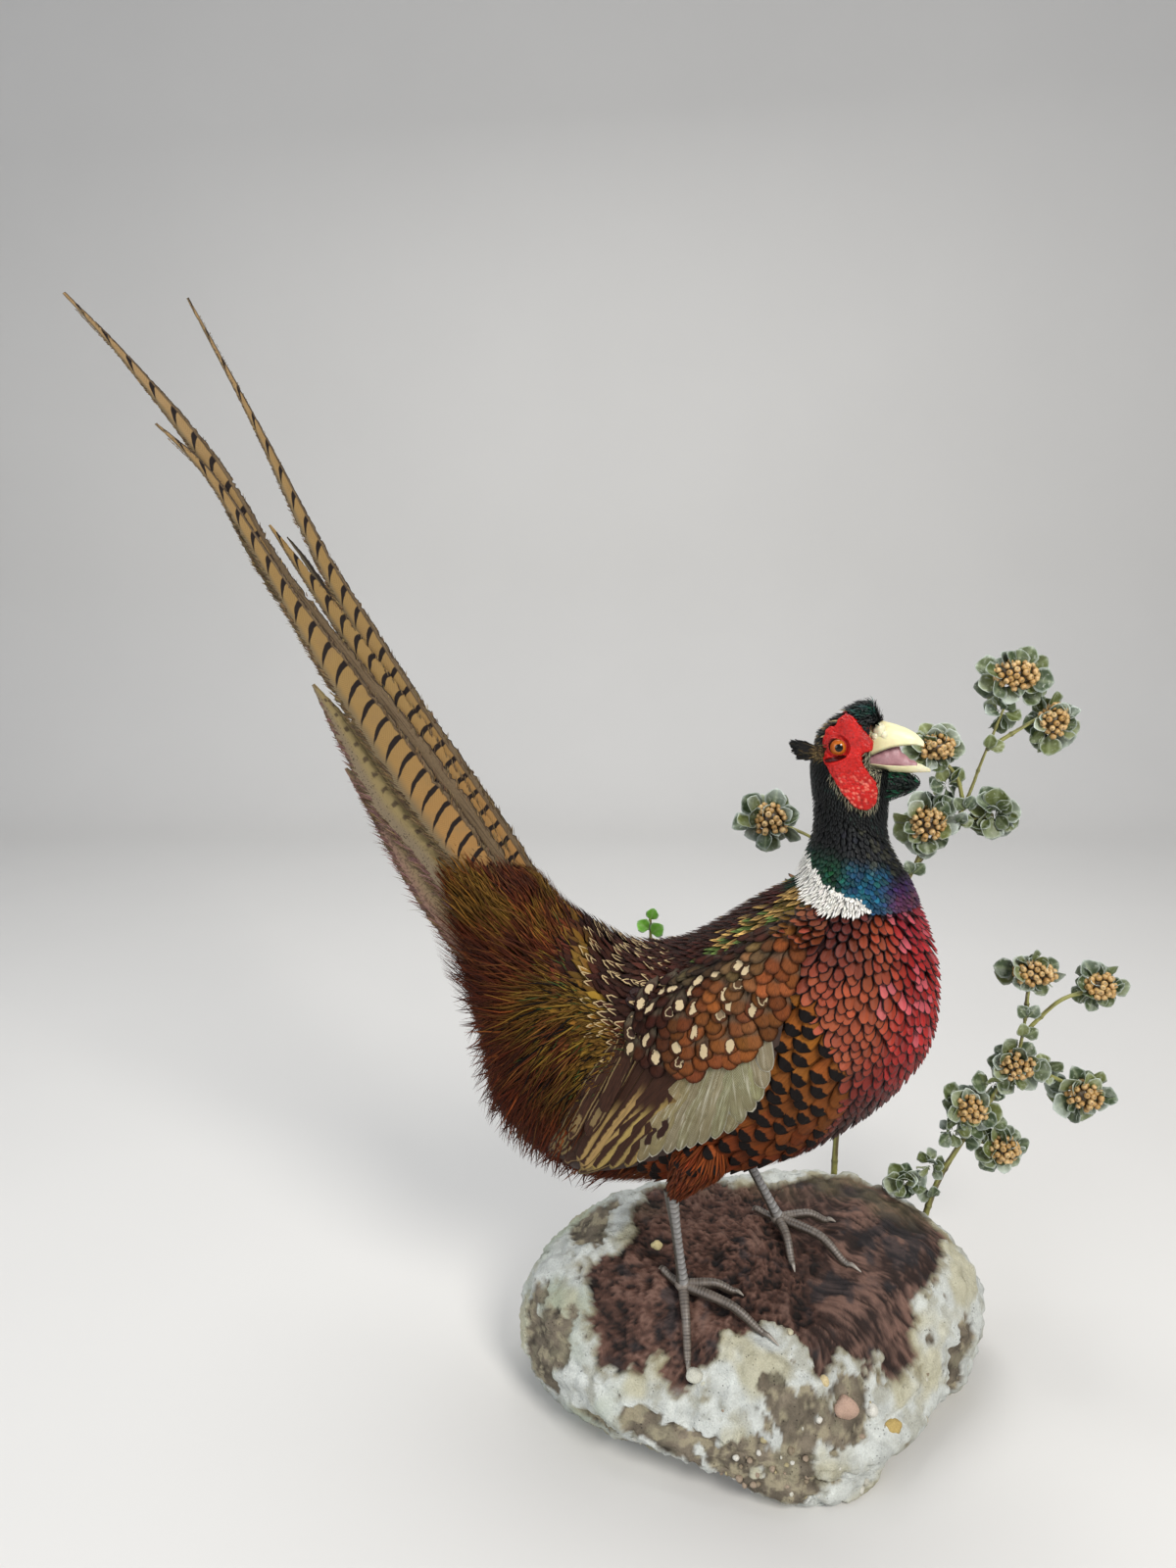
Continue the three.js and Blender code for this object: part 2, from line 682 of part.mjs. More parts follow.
// A lump of berries and leaves with a scalloped outline.
function clusterSolid({ at, size }) {
  const geometry = new THREE.SphereGeometry(1, 8, 5);
  const position = geometry.attributes.position;
  for (let i = 0; i < position.count; i += 1) {
    const p = new THREE.Vector3().fromBufferAttribute(position, i);
    const turn = Math.atan2(p.y, p.x);
    const scallop = 1 - 0.14 * (1 - p.z * p.z) * (0.5 + 0.5 * Math.cos(5 * turn + at[0]));
    p.multiply(point(...size)).multiplyScalar(scallop).add(point(...at));
    position.setXYZ(i, p.x, p.y, p.z);
  }
  return toSolid(geometry);
}

const SPRIGS = [
  {
    name: 'sprig_tall',
    stems: [
      {
        r: STEM_RADIUS,
        path: [
          [71, 62, 96], [73, 62, 160], [87, 62, 253], [113, 62, 330], [141, 61, 367], [157, 60, 415],
          [172, 60, 460],
        ],
      },
      { r: TWIG_RADIUS, path: [[113, 62, 330], [119, 61, 348], [120, 60, 368]] },
      { r: TWIG_RADIUS, path: [[146, 61, 376], [140, 60, 398], [126, 60, 414]] },
      { r: TWIG_RADIUS, path: [[158, 60, 418], [176, 60, 430], [192, 60, 440]] },
      { r: TWIG_RADIUS, path: [[92, 62, 268], [78, 62, 318], [50, 61, 352], [20, 60, 367]] },
      { r: TWIG_RADIUS, path: [[141, 61, 367], [156, 60, 371], [166, 60, 373]] },
    ],
    clusters: [
      { at: [173, 60, 467], size: [30, 22, 19], looks: looks.berries },
      { at: [200, 60, 437], size: [18, 18, 21], looks: looks.berries },
      { at: [124, 60, 419], size: [23, 17, 15], looks: looks.berries },
      { at: [121, 60, 366], size: [23, 18, 22], looks: looks.berries },
      { at: [167, 60, 374], size: [17, 14, 20], looks: looks.leaves },
      { at: [14, 60, 369], size: [25, 18, 20], looks: looks.berries },
    ],
  },
  {
    name: 'sprig_low',
    stems: [
      {
        r: STEM_RADIUS,
        path: [
          [129, 34, 78], [138, 34, 112], [154, 35, 144], [176, 35, 184], [187, 35, 210], [190, 35, 238],
        ],
      },
      { r: TWIG_RADIUS, path: [[154, 35, 144], [168, 35, 142], [182, 35, 138]] },
      { r: TWIG_RADIUS, path: [[184, 35, 204], [212, 35, 192], [232, 35, 182]] },
      { r: TWIG_RADIUS, path: [[188, 35, 222], [212, 35, 248], [236, 35, 256]] },
      { r: TWIG_RADIUS, path: [[190, 35, 236], [190, 35, 254], [192, 35, 266]] },
      { r: TWIG_RADIUS, path: [[134, 34, 100], [124, 34, 106], [116, 34, 110]] },
    ],
    clusters: [
      { at: [186, 35, 200], size: [22, 18, 18], looks: looks.berries },
      { at: [157, 35, 168], size: [21, 17, 17], looks: looks.berries },
      { at: [182, 35, 137], size: [20, 17, 17], looks: looks.berries },
      { at: [235, 35, 178], size: [23, 18, 19], looks: looks.berries },
      { at: [192, 35, 268], size: [27, 16, 14], looks: looks.berries },
      { at: [238, 35, 258], size: [19, 16, 17], looks: looks.berries },
      { at: [116, 34, 110], size: [18, 13, 12], looks: looks.leaves },
    ],
  },
  {
    name: 'sprig_green',
    stems: [{ r: 1.6, path: [[-58, 62, 78], [-60, 70, 160], [-64, 73, 240], [-66, 73, 288]] }],
    clusters: [{ at: [-66, 73, 294], size: [9, 7, 9], looks: looks.freshLeaf }],
  },
];

function stemSolid(stems, grow) {
  return stems.map(({ r, path }) => {
    const knots = path.map((p, i) => ({ at: point(...p), r: r * (1 - 0.12 * i) }));
    return tube(knots, 5, 1, grow);
  }).reduce((all, stem) => all.add(stem));
}

function makeSprig(sprig) {
  const stem = stemSolid(sprig.stems, 0);
  const stemRoom = stemSolid(sprig.stems, GAP);
  const meshes = [named(`${sprig.name}_stem`, stem.subtract(rockRoom), looks.stem)];
  let taken = stemRoom.add(rockRoom);
  sprig.clusters.forEach((cluster, i) => {
    const solid = clusterSolid(cluster);
    meshes.push(named(`${sprig.name}_cluster_${i + 1}`, solid.subtract(taken), cluster.looks));
    taken = taken.add(clusterSolid({ at: cluster.at, size: cluster.size.map((s) => s + 0.6) }));
  });
  return meshes;
}

// ---------------------------------------------------------------- assembly

bird.add(
  makeHead(),
  ...makeMouth(),
  makeEye('eye_right', -1),
  makeEye('eye_left', 1),
  makeWattle('wattle_right', -1),
  makeWattle('wattle_left', 1),
  makeEarTuft('ear_tuft_right', -1),
  makeEarTuft('ear_tuft_left', 1),
  named('neck', bodySpan(HEAD_END, NECK_END), looks.headGreen),
  named('trunk', bodySpan(NECK_END, TRUNK_END), looks.breast),
  named('rump', bodySpan(TRUNK_END, SLICES.length - 1), looks.rump),
  makeWing('wing_right', -1),
  makeWing('wing_left', 1),
  ...LEGS.map(makeThigh),
  ...LEGS.map(makeLeg),
  ...TAIL_FEATHERS.map(makeTailFeather),
);

const pheasant = new THREE.Group();
pheasant.add(named('rock', rockSolid(), looks.rock), bird, ...SPRIGS.flatMap(makeSprig));

export default pheasant;
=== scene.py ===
# A cock ring-necked pheasant, mounted on a rock with sprigs of artificial berries.
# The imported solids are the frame. Lengths here are millimetres, turned into metres when a
# mesh is made. The bird is drawn in its own axes: x forward, y to its left, z up.

import math

import bpy
import numpy as np
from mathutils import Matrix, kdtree


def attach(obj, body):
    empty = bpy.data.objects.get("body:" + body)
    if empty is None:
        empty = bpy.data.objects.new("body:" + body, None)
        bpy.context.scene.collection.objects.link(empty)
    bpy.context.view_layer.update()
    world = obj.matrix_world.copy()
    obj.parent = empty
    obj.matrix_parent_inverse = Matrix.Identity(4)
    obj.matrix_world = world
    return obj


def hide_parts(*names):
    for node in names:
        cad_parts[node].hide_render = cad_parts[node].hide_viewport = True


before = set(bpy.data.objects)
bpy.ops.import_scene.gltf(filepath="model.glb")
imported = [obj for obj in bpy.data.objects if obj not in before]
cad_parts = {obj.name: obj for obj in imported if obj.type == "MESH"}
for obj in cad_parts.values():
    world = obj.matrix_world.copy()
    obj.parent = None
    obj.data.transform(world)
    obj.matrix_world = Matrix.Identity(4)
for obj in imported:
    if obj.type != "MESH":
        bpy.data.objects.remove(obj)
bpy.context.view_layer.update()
# The stream of chance that most feathers draw from, so the order of its draws matters.
rng = np.random.default_rng(7)

# ---------------------------------------------------------------- numbers from the solids

BIRD_ORIGIN = np.array([-17.0, -38.0, 0.0])
BIRD_HEADING = math.radians(-15)

# Cross-sections of the body from the bill back to the tail: upper x and z, lower x and z,
# half width, and how far the widest place is lifted.
SLICES = np.array([
    [76, 455, 80, 427, 7.5, 0], [72, 462, 80.3, 422, 11.5, 0], [67.5, 467.5, 80.5, 416, 15, .05],
    [61, 465.5, 80.7, 411, 17, .1], [52, 459.5, 80.7, 406, 18.5, .1],
    [44, 452, 80.6, 401.5, 19, .1], [38.3, 443.5, 80.5, 397.5, 19, .05],
    [35.6, 431, 80.7, 394, 19, 0], [36.5, 419, 81.3, 390.5, 19.5, 0],
    [38.5, 404, 82.5, 386.5, 20, 0], [38.5, 391, 86, 379, 21.5, 0],
    [35, 377.5, 91, 371, 25, 0], [29, 363, 96.5, 362, 33, 0], [15, 352, 104, 345, 45, 0],
    [0, 341, 111, 327, 54, 0], [-24, 324, 115.5, 303, 60, 0], [-42, 314, 114, 272, 61, 0],
    [-55, 310.5, 103, 247, 61, 0], [-66, 310, 80, 219, 61, 0], [-76, 311, 44, 190, 60, 0],
    [-86, 316, 0, 170, 58, 0], [-96, 323, -45, 157, 55, 0], [-104, 328, -90, 152, 51, 0],
    [-110, 332, -125, 166, 47, 0], [-116, 337, -152, 191, 43, 0],
    [-120, 341, -161, 226, 40, 0], [-124, 346, -170, 262, 37, 0],
    [-130, 352, -180, 291, 33, 0],
    # These three carry the plumage on over the roots of the tail.
    [-143.5, 357, -188.5, 317, 29, 0], [-160, 368, -196, 338, 25, 0], [-175, 383, -205, 357, 21, 0],
])
RUMP_END = 27
# Which way the tail and the end of the rump point.
TAILWARD = np.array([-.58, 0, .81])
# The face between forehead and chin, where the bill's base sits.
BILL_SEAT = 68.5

# Upper and lower edge of the folded wing as slice and degrees round the body. The last
# row carries the wing's surface on past its tip.
WING_EDGES = np.array([
    [12.9, 50, 12.9, 62], [13.8, 44, 13.8, 73], [15.2, 40, 15.2, 82], [16.7, 41, 16.6, 91],
    [18.2, 49, 17.9, 101], [19.6, 66, 19.2, 113], [20.8, 90, 20.4, 126], [21.7, 113, 21.3, 139],
    [22.5, 140, 22.3, 151], [23.3, 166, 23.2, 163],
])
WING_END = 8
WING_THICKNESS = 9

# Ankle, foot and toes of each leg, all as places of the bird; a toe is its reach, then how
# high it arches and how high its tip stands.
LEGS = {
    "right": ((-34, -34, 161), (-26, -34),
              ((61, -12.5, 5, 0), (10, -32.5, 4, 0), (37, 6, 8, 4), (-17, 9, 1, 2))),
    "left": ((-7, 34, 174), (26, 34),
             ((55, -22.5, 5, 0), (14, -31.5, 4, 0), (37, 9, 8, 4), (-18, 5, 1, 2))),
}
THIGH_TOPS = {"right": (-16, -38, 198), "left": (-4, 38, 205)}
SIDES = {"right": -1, "left": 1}

# ---------------------------------------------------------------- small sums


def smooth(samples, u):
    """Values of evenly spaced samples at places u, with a smooth curve through them."""
    samples = np.asarray(samples, float)
    last = len(samples) - 1
    u = np.clip(np.asarray(u, float), 0, last)
    i = np.minimum(u.astype(int), last - 1)
    f = (u - i)[..., None]
    a, b, c, d = (samples[np.clip(i + k, 0, last)] for k in (-1, 0, 1, 2))
    return 0.5 * (2 * b + (c - a) * f + (2 * a - 5 * b + 4 * c - d) * f**2
                  + (3 * b - a - 3 * c + d) * f**3)


def step(x, low, high):
    """0 below low and 1 above high, with a soft change between them."""
    t = np.clip((np.asarray(x, float) - low) / (high - low), 0, 1)
    return t * t * (3 - 2 * t)


def between(x, low, high):
    return (x > low) & (x < high)


def unit(v):
    return v / np.maximum(np.linalg.norm(v, axis=-1, keepdims=True), 1e-12)


def dot(a, b):
    return (a * b).sum(-1, keepdims=True)


def noise(p, seed=0):
    """Smooth noise from -1 to 1 at points p."""
    p = np.asarray(p, float)
    cell = np.floor(p).astype(np.int64)
    f = p - cell
    f = f * f * (3 - 2 * f)
    total = 0
    for corner in np.ndindex(*(2,) * p.shape[-1]):
        key = np.full(p.shape[:-1], seed * 7919 + 17, np.int64)
        weight = 1
        for axis, side in enumerate(corner):
            key = (key * 73856093) ^ ((cell[..., axis] + side) * (19349663 + 83492791 * axis))
            key = (key ^ (key >> 15)) & 0x7FFFFFFF
            weight = weight * (f[..., axis] if side else 1 - f[..., axis])
        key = (key * 1103515245 + 12345) & 0x7FFFFFFF
        total = total + weight * ((key >> 8) % 65536 / 32767.5 - 1)
    return total


def rough(p, octaves=4, seed=0):
    """Noise with finer and finer detail."""
    return sum(noise(np.asarray(p) * 2**k, seed + k) / 2**k for k in range(octaves))


def rgb(text):
    """Linear red, green and blue of a colour written as six hexadecimal digits."""
    c = np.array([int(text[i:i + 2], 16) / 255 for i in (0, 2, 4)])
    return np.where(c < 0.04045, c / 12.92, ((c + 0.055) / 1.055) ** 2.4)


def blend(colour, other, share):
    """A colour moved towards another by a share for each place. Either may be text."""
    colour, other = (rgb(c) if isinstance(c, str) else c for c in (colour, other))
    return colour + (other - colour) * np.asarray(share)[..., None]


def spotted(tint, chosen, text, light=0):
    """The tints with a chosen colour where chosen holds, in uneven lightness."""
    colour = rgb(text)
    if light:
        colour = colour * np.exp(rng.normal(0, light, (len(tint), 1)))
    return np.where(np.reshape(chosen, (-1, 1)), colour, tint)


def grid(first, second):
    return np.meshgrid(first, second, indexing="ij")


def turns(count):
    """Even angles once round."""
    return np.linspace(0, 2 * math.pi, count, endpoint=False)


def pointing(q, t):
    """Unit vectors at the angles q from the pole and t round it."""
    return np.stack([np.sin(q) * np.cos(t), np.sin(q) * np.sin(t), np.cos(q)], -1)


def sphere(rows, columns):
    """Angles from the pole and round it, and a unit sphere's points there but for the poles."""
    q, t = grid(np.linspace(0, math.pi, rows)[1:-1], turns(columns))
    return q, t, pointing(q, t)


def turned(p, angle):
    c, s = math.cos(angle), math.sin(angle)
    x, y, z = np.moveaxis(np.asarray(p, float), -1, 0)
    return np.stack([c * x - s * y, s * x + c * y, z], -1)


def to_world(p):
    return turned(p, BIRD_HEADING) + BIRD_ORIGIN


def to_bird(p):
    return turned(p - BIRD_ORIGIN, -BIRD_HEADING)


# ---------------------------------------------------------------- surfaces


def body(u, a, grow=0.0):
    """Point of the body at slice u and angle a round it, 0 on the back, plus to the left."""
    dx, dz, vx, vz, half, lift = np.moveaxis(smooth(SLICES, u), -1, 0)
    height = np.hypot(dx - vx, dz - vz) / 2
    ax, az = (dx - vx) / 2 / height, (dz - vz) / 2 / height
    v = (np.cos(a) + lift * np.sin(a) ** 2) * (height + grow)
    x, z = (dx + vx) / 2 + ax * v, (dz + vz) / 2 + az * v
    seat = step(z, 429, 432.5) * step(z, 457.5, 454)
    x = x - seat * np.clip(x - BILL_SEAT, 0, None) * .96
    return np.stack([x, (half + grow) * np.sin(a), z], -1)


def wing_place(t, j):
    """Slice and degrees of the wing's place t along it and j across it."""
    u_top, top, u_low, low = np.moveaxis(smooth(WING_EDGES, t), -1, 0)
    return u_top + (u_low - u_top) * j, top + (low - top) * j


def wing(side, sunk=0.0):
    """The outer surface of one wing, as a function of the place along and across it."""
    def surface(t, j):
        u, degrees = wing_place(t, j)
        share = np.clip(np.asarray(t) / WING_END, 0, 1)
        depth = WING_THICKNESS * (.55 + .45 * np.sin(math.pi * np.minimum(share * 1.15, 1)))
        lens = .3 + .7 * np.sin(math.pi * np.clip(j, 0, 1)) ** .6
        return body(u, side * np.radians(degrees), depth * lens - sunk)
    surface.facing = side
    return surface


def slopes(surface, x, y):
    """Point, both slopes and outward normal of a surface."""
    e = 1e-3
    p = surface(x, y)
    px = (surface(x + e, y) - surface(x - e, y)) / (2 * e)
    py = (surface(x, y + e) - surface(x, y - e)) / (2 * e)
    return p, px, py, unit(np.cross(py, px)) * getattr(surface, "facing", 1)


def move(px, py, direction):
    """How far to go in a surface's own numbers for a step in space."""
    e, f, g = dot(px, px), dot(px, py), dot(py, py)
    a, b = dot(direction, px), dot(direction, py)
    det = np.maximum(e * g - f * f, 1e-9)
    return ((g * a - f * b) / det)[..., 0], ((e * b - f * a) / det)[..., 0]


# ---------------------------------------------------------------- meshes


def make_mesh(name, points, groups, look, slot, replaces=(), uvs=None, tints=None, axes="bird"):
    """A piece from millimetre points and groups of faces (corner lists, smooth)."""
    points = np.asarray(points, float).reshape(-1, 3)
    if axes == "bird":
        points = to_world(points)
    mesh = bpy.data.meshes.new(name)
    mesh.vertices.add(len(points))
    mesh.vertices.foreach_set("co", (points / 1000).ravel())
    corners = np.concatenate([np.asarray(f).ravel() for f, _ in groups]).astype(np.int32)
    sizes = np.concatenate([np.full(len(f), np.shape(f)[1]) for f, _ in groups])
    starts = np.concatenate([[0], np.cumsum(sizes)[:-1]]).astype(np.int32)
    mesh.loops.add(len(corners))
    mesh.loops.foreach_set("vertex_index", corners)
    mesh.polygons.add(len(sizes))
    mesh.polygons.foreach_set("loop_start", starts)
    is_smooth = np.concatenate([np.full(len(f), s) for f, s in groups])
    mesh.polygons.foreach_set("use_smooth", is_smooth)
    mesh.update(calc_edges=True)
    for title, uv in (uvs or {}).items():
        layer = mesh.uv_layers.new(name=title)
        per_corner = uv[corners] if not isinstance(uv, list) else np.concatenate(
            [np.asarray(part).reshape(-1, 2) for part in uv])
        layer.data.foreach_set("uv", per_corner.astype(np.float32).ravel())
    if tints is not None:
        attribute = mesh.color_attributes.new("Tint", "FLOAT_COLOR", "POINT")
        rgba = np.ones((len(points), 4), np.float32)
        rgba[:, :tints.shape[1]] = tints
        attribute.data.foreach_set("color", rgba.ravel())
    mesh.materials.append(look)
    piece = bpy.data.objects.new(name, mesh)
    bpy.context.scene.collection.objects.link(piece)
    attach(piece, "root")
    if replaces:
        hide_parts(*replaces)
    return piece


class Pile:
    """Many closed shapes gathered into one mesh."""

    def __init__(self):
        self.points, self.groups, self.uvs, self.tints, self.count = [], {}, [], [], 0

    def add(self, points, groups, tint, uv=None):
        for faces, is_smooth in groups:
            key = (faces.shape[1], is_smooth)
            self.groups.setdefault(key, []).append(faces + self.count)
        if uv is not None:
            self.uvs.append(uv)
        self.tints.append(np.broadcast_to(tint, (len(points), 3)))
        self.points.append(points)
        self.count += len(points)

    def make(self, name, look, slot, **more):
        groups = [(np.concatenate(f), s) for (_, s), f in self.groups.items()]
        uvs = {"OFBake": np.concatenate(self.uvs)} if self.uvs else None
        make_mesh(name, np.concatenate(self.points), groups, look, slot,
                  uvs=uvs, tints=np.concatenate(self.tints), **more)


def sheet_faces(rows, columns):
    """Quads between the points of a grid."""
    r, c = grid(np.arange(rows - 1), np.arange(columns - 1))
    start = (r * columns + c).reshape(-1)
    return np.stack([start, start + 1, start + columns + 1, start + columns], -1)


def vane_faces(rows, columns):
    """The faces of a closed vane: its upper side, underside, root's end and tip's end."""
    start = np.arange(rows - 1) * columns
    under = np.stack([start + columns - 1, start, start + columns, start + 2 * columns - 1], -1)
    end = np.arange(columns)[None]
    return [(sheet_faces(rows, columns), True), (under, False), (end[:, ::-1], False),
            (end + (rows - 1) * columns, False)]


def ring_faces(rows, columns):
    """Quads of a closed tube's rings, and the two fans that close it."""
    r, c = grid(np.arange(rows - 1), np.arange(columns))
    n = (c + 1) % columns
    quads = np.stack([r * columns + c, r * columns + n, (r + 1) * columns + n,
                      (r + 1) * columns + c], -1).reshape(-1, 4)
    c = np.arange(columns)
    n = (c + 1) % columns
    hub, end = rows * columns, (rows - 1) * columns
    first = np.stack([n, c, np.full(columns, hub)], -1)
    last = np.stack([end + c, end + n, np.full(columns, hub + 1)], -1)
    return quads, np.concatenate([first, last])


def ring_solid(rings):
    """Points and faces of a closed solid through rings, shaped (rows, columns, 3)."""
    rows, columns, _ = rings.shape
    points = np.concatenate([rings.reshape(-1, 3), rings[:1].mean(1), rings[-1:].mean(1)])
    quads, fans = ring_faces(rows, columns)
    spot = rings.mean(1, keepdims=True)
    outward = np.cross(rings[1:, :] - rings[:-1, :], np.roll(rings, -1, 1)[:-1] - rings[:-1])
    if (outward * (rings - spot)[:-1]).sum() > 0:
        quads, fans = quads[:, ::-1], fans[:, ::-1]
    return points, [(quads, True), (fans, True)]


def ring_uvs(rows, columns):
    """Even places of a tube's points on the unit square, one per point."""
    r, c = grid(np.arange(rows) / (rows - 1), np.arange(columns) / columns)
    return np.concatenate([np.stack([c, r], -1).reshape(-1, 2), [[.5, 0], [.5, 1]]])


def capped(values, last=-1):
    """A tube's values as one row per point, and one more for the middle of each end."""
    rows = values.reshape(-1, values.shape[-1])
    return np.concatenate([rows, rows[:1], values[-1, last][None]])


def tube_rings(path, radius, columns, front):
    """Rings of the given radii round a path, each starting at its front."""
    along = unit(np.gradient(path, axis=0))
    side = np.array(front)
    if abs(dot(side, along[0])[0]) > .9:
        side = np.array([1.0, 0.0, 0.0])
    angle = turns(columns)
    rings = []
    for p, t, r in zip(path, along, radius):
        side = unit(side - t * dot(side, t))
        other = np.cross(t, side)
        turn = np.cos(angle)[:, None] * side + np.sin(angle)[:, None] * other
        rings.append(p + r[:, None] * turn)
    return np.array(rings)


# ---------------------------------------------------------------- materials

# How far apart in the noise the strands of different feathers lie.
STRAND_SPREAD = 40


def plug(tree, socket, value):
    if isinstance(value, Wire):
        tree.links.new(value.out, socket)
    elif socket.type == "RGBA":
        socket.default_value = (*tuple(value)[:3], 1)
    else:
        socket.default_value = value


class Wire:
    """A node's output that can be used in sums."""

    def __init__(self, tree, out):
        self.tree, self.out = tree, out

    def math(self, operation, *others):
        node = self.tree.nodes.new("ShaderNodeMath")
        node.operation = operation
        for socket, value in zip(node.inputs, (self, *others)):
            plug(self.tree, socket, value)
        return Wire(self.tree, node.outputs[0])

    def __add__(self, other):
        return self.math("ADD", other)

    def __sub__(self, other):
        return self.math("SUBTRACT", other)

    def __mul__(self, other):
        return self.math("MULTIPLY", other)

    def __truediv__(self, other):
        return self.math("DIVIDE", other)

    def abs(self):
        return self.math("ABSOLUTE")

    def sin(self):
        return self.math("SINE")

    def high(self, other):
        return self.math("MAXIMUM", other)

    def ramp(self, low, high):
        """0 at low and 1 at high, with a soft change."""
        node = self.tree.nodes.new("ShaderNodeMapRange")
        node.interpolation_type = "SMOOTHSTEP"
        flip = low > high
        plug(self.tree, node.inputs["Value"], self)
        node.inputs["From Min"].default_value = min(low, high)
        node.inputs["From Max"].default_value = max(low, high)
        node.inputs["To Min"].default_value = 1.0 if flip else 0.0
        node.inputs["To Max"].default_value = 0.0 if flip else 1.0
        return Wire(self.tree, node.outputs[0])


class Look:
    """A material with its Principled shader, and short calls for its nodes."""

    def __init__(self, name, **settings):
        self.material = bpy.data.materials.new(name)
        self.material.use_nodes = True
        self.tree = self.material.node_tree
        self.shader = self.tree.nodes["Principled BSDF"]
        for socket, value in settings.items():
            self.shader.inputs[socket.replace("_", " ")].default_value = value

    def node(self, kind, **fields):
        node = self.tree.nodes.new(kind)
        for field, value in fields.items():
            setattr(node, field, value)
        return node

    def wire(self, node, output=0):
        return Wire(self.tree, node.outputs[output])

    def uv(self, title):
        split = self.node("ShaderNodeSeparateXYZ")
        self.tree.links.new(self.node("ShaderNodeUVMap", uv_map=title).outputs[0], split.inputs[0])
        return self.wire(split, 0), self.wire(split, 1)

    def tint(self):
        node = self.node("ShaderNodeAttribute", attribute_name="Tint")
        return self.wire(node, "Color"), self.wire(node, "Alpha")

    def place(self, stretch=None):
        """Metre coordinates of the piece, which sits at the world's origin."""
        out = self.wire(self.node("ShaderNodeTexCoord"), "Object")
        if stretch is None:
            return out
        node = self.node("ShaderNodeMapping")
        node.inputs["Scale"].default_value = stretch
        plug(self.tree, node.inputs["Vector"], out)
        return self.wire(node)

    def vector(self, x, y, z=0.0):
        node = self.node("ShaderNodeCombineXYZ")
        for socket, value in zip(node.inputs, (x, y, z)):
            plug(self.tree, socket, value)
        return self.wire(node)

    def noise(self, scale, detail, vector=None):
        node = self.node("ShaderNodeTexNoise")
        node.inputs["Scale"].default_value = scale
        node.inputs["Detail"].default_value = detail
        plug(self.tree, node.inputs["Vector"], vector or self.place())
        return self.wire(node)

    def strand(self, scale, detail, x, y, chance):
        """Noise drawn out along a feather and different on each."""
        return self.noise(scale, detail, self.vector(x, y, chance * STRAND_SPREAD))

    def cells(self, scale):
        node = self.node("ShaderNodeTexVoronoi")
        node.inputs["Scale"].default_value = scale
        plug(self.tree, node.inputs["Vector"], self.place())
        return self.wire(node, "Distance")

    def mix(self, amount, first, second, blend="MIX"):
        node = self.node("ShaderNodeMix", data_type="RGBA", blend_type=blend)
        plug(self.tree, node.inputs[0], amount)
        plug(self.tree, node.inputs[6], first)
        plug(self.tree, node.inputs[7], second)
        return self.wire(node, 2)

    def finish(self, colour, rough=None, bump=None, height=.0003, strength=.6):
        """Plugs the material's inputs in and returns it. height is the bump's, in metres."""
        plug(self.tree, self.shader.inputs["Base Color"], colour)
        if rough is not None:
            plug(self.tree, self.shader.inputs["Roughness"], rough)
        if bump is not None:
            node = self.node("ShaderNodeBump")
            node.inputs["Strength"].default_value = strength
            node.inputs["Distance"].default_value = height
            plug(self.tree, node.inputs["Height"], bump)
            self.tree.links.new(node.outputs[0], self.shader.inputs["Normal"])
        return self.material


def feather_look(name, paint, roughness, barb_bump, **settings):
    """A feather's material. paint(look, x, y, rim, tip, tint, chance) gives its colour, from
    the millimetres across, along, from the rim and from the tip, and the feather's own tint."""
    look = Look(name, **{"Roughness": roughness, "Specular_IOR_Level": .1, **settings})
    x, y = look.uv("Vane")
    rim, tip = look.uv("Rim")
    tint, chance = look.tint()
    colour = paint(look, x, y, rim, tip, tint, chance)
    barbs = ((y - x.abs() * 1.1) * 11.0).sin()
    grain = look.noise(900, 3)
    shaft = x.abs().ramp(.05, .3)
    bump = barbs * .35 + grain * 1.2 + shaft * .6
    return look.finish(colour, bump=bump, strength=barb_bump)


def shade(look, colour, amount):
    """A colour made darker or lighter by a wire around 1."""
    return look.mix(1.0, colour, look.vector(amount, amount, amount), "MULTIPLY")


# ---------------------------------------------------------------- feathers

# The most triangles in a piece of plumage, and the side of a feather's patch of OFBake.
PIECE_TRIANGLES = 180000
PATCH = .003
# How many places scatter tries for each one it keeps room for.
TRIES_EACH = 9

# Outlines as places along the vane and share of the greatest width there.
OUTLINES = {
    "scale": [(0, .3), (.2, .7), (.42, .97), (.6, 1), (.75, .93), (.86, .74), (.94, .46), (1, .1)],
    "lance": [(0, .3), (.25, .8), (.45, 1), (.62, .86), (.76, .62), (.88, .36), (1, .05)],
    "round": [(0, .3), (.2, .7), (.45, .98), (.65, 1), (.8, .95), (.9, .77), (.96, .5), (1, .2)],
    "blade": [(0, .4), (.12, .75), (.35, .96), (.6, 1), (.8, .97), (.9, .82), (.96, .55), (1, .12)],
    "small": [(0, .4), (.4, 1), (.7, .85), (.88, .55), (1, .1)],
    "hair": [(0, .6), (.35, 1), (.7, .7), (1, .06)],
}


def trace(surface, x, y, heading, lengths, count):
    """Steps along a surface from (x, y): places, points, directions and normals."""
    out = []
    for k in range(count):
        p, px, py, n = slopes(surface, x, y)
        heading = unit(heading - n * dot(heading, n))
        out.append((x, y, p, heading, n, px, py))
        if k < count - 1:
            dx, dy = move(px, py, heading * lengths[k][:, None])
            x, y = x + dx, y + dy
    return out


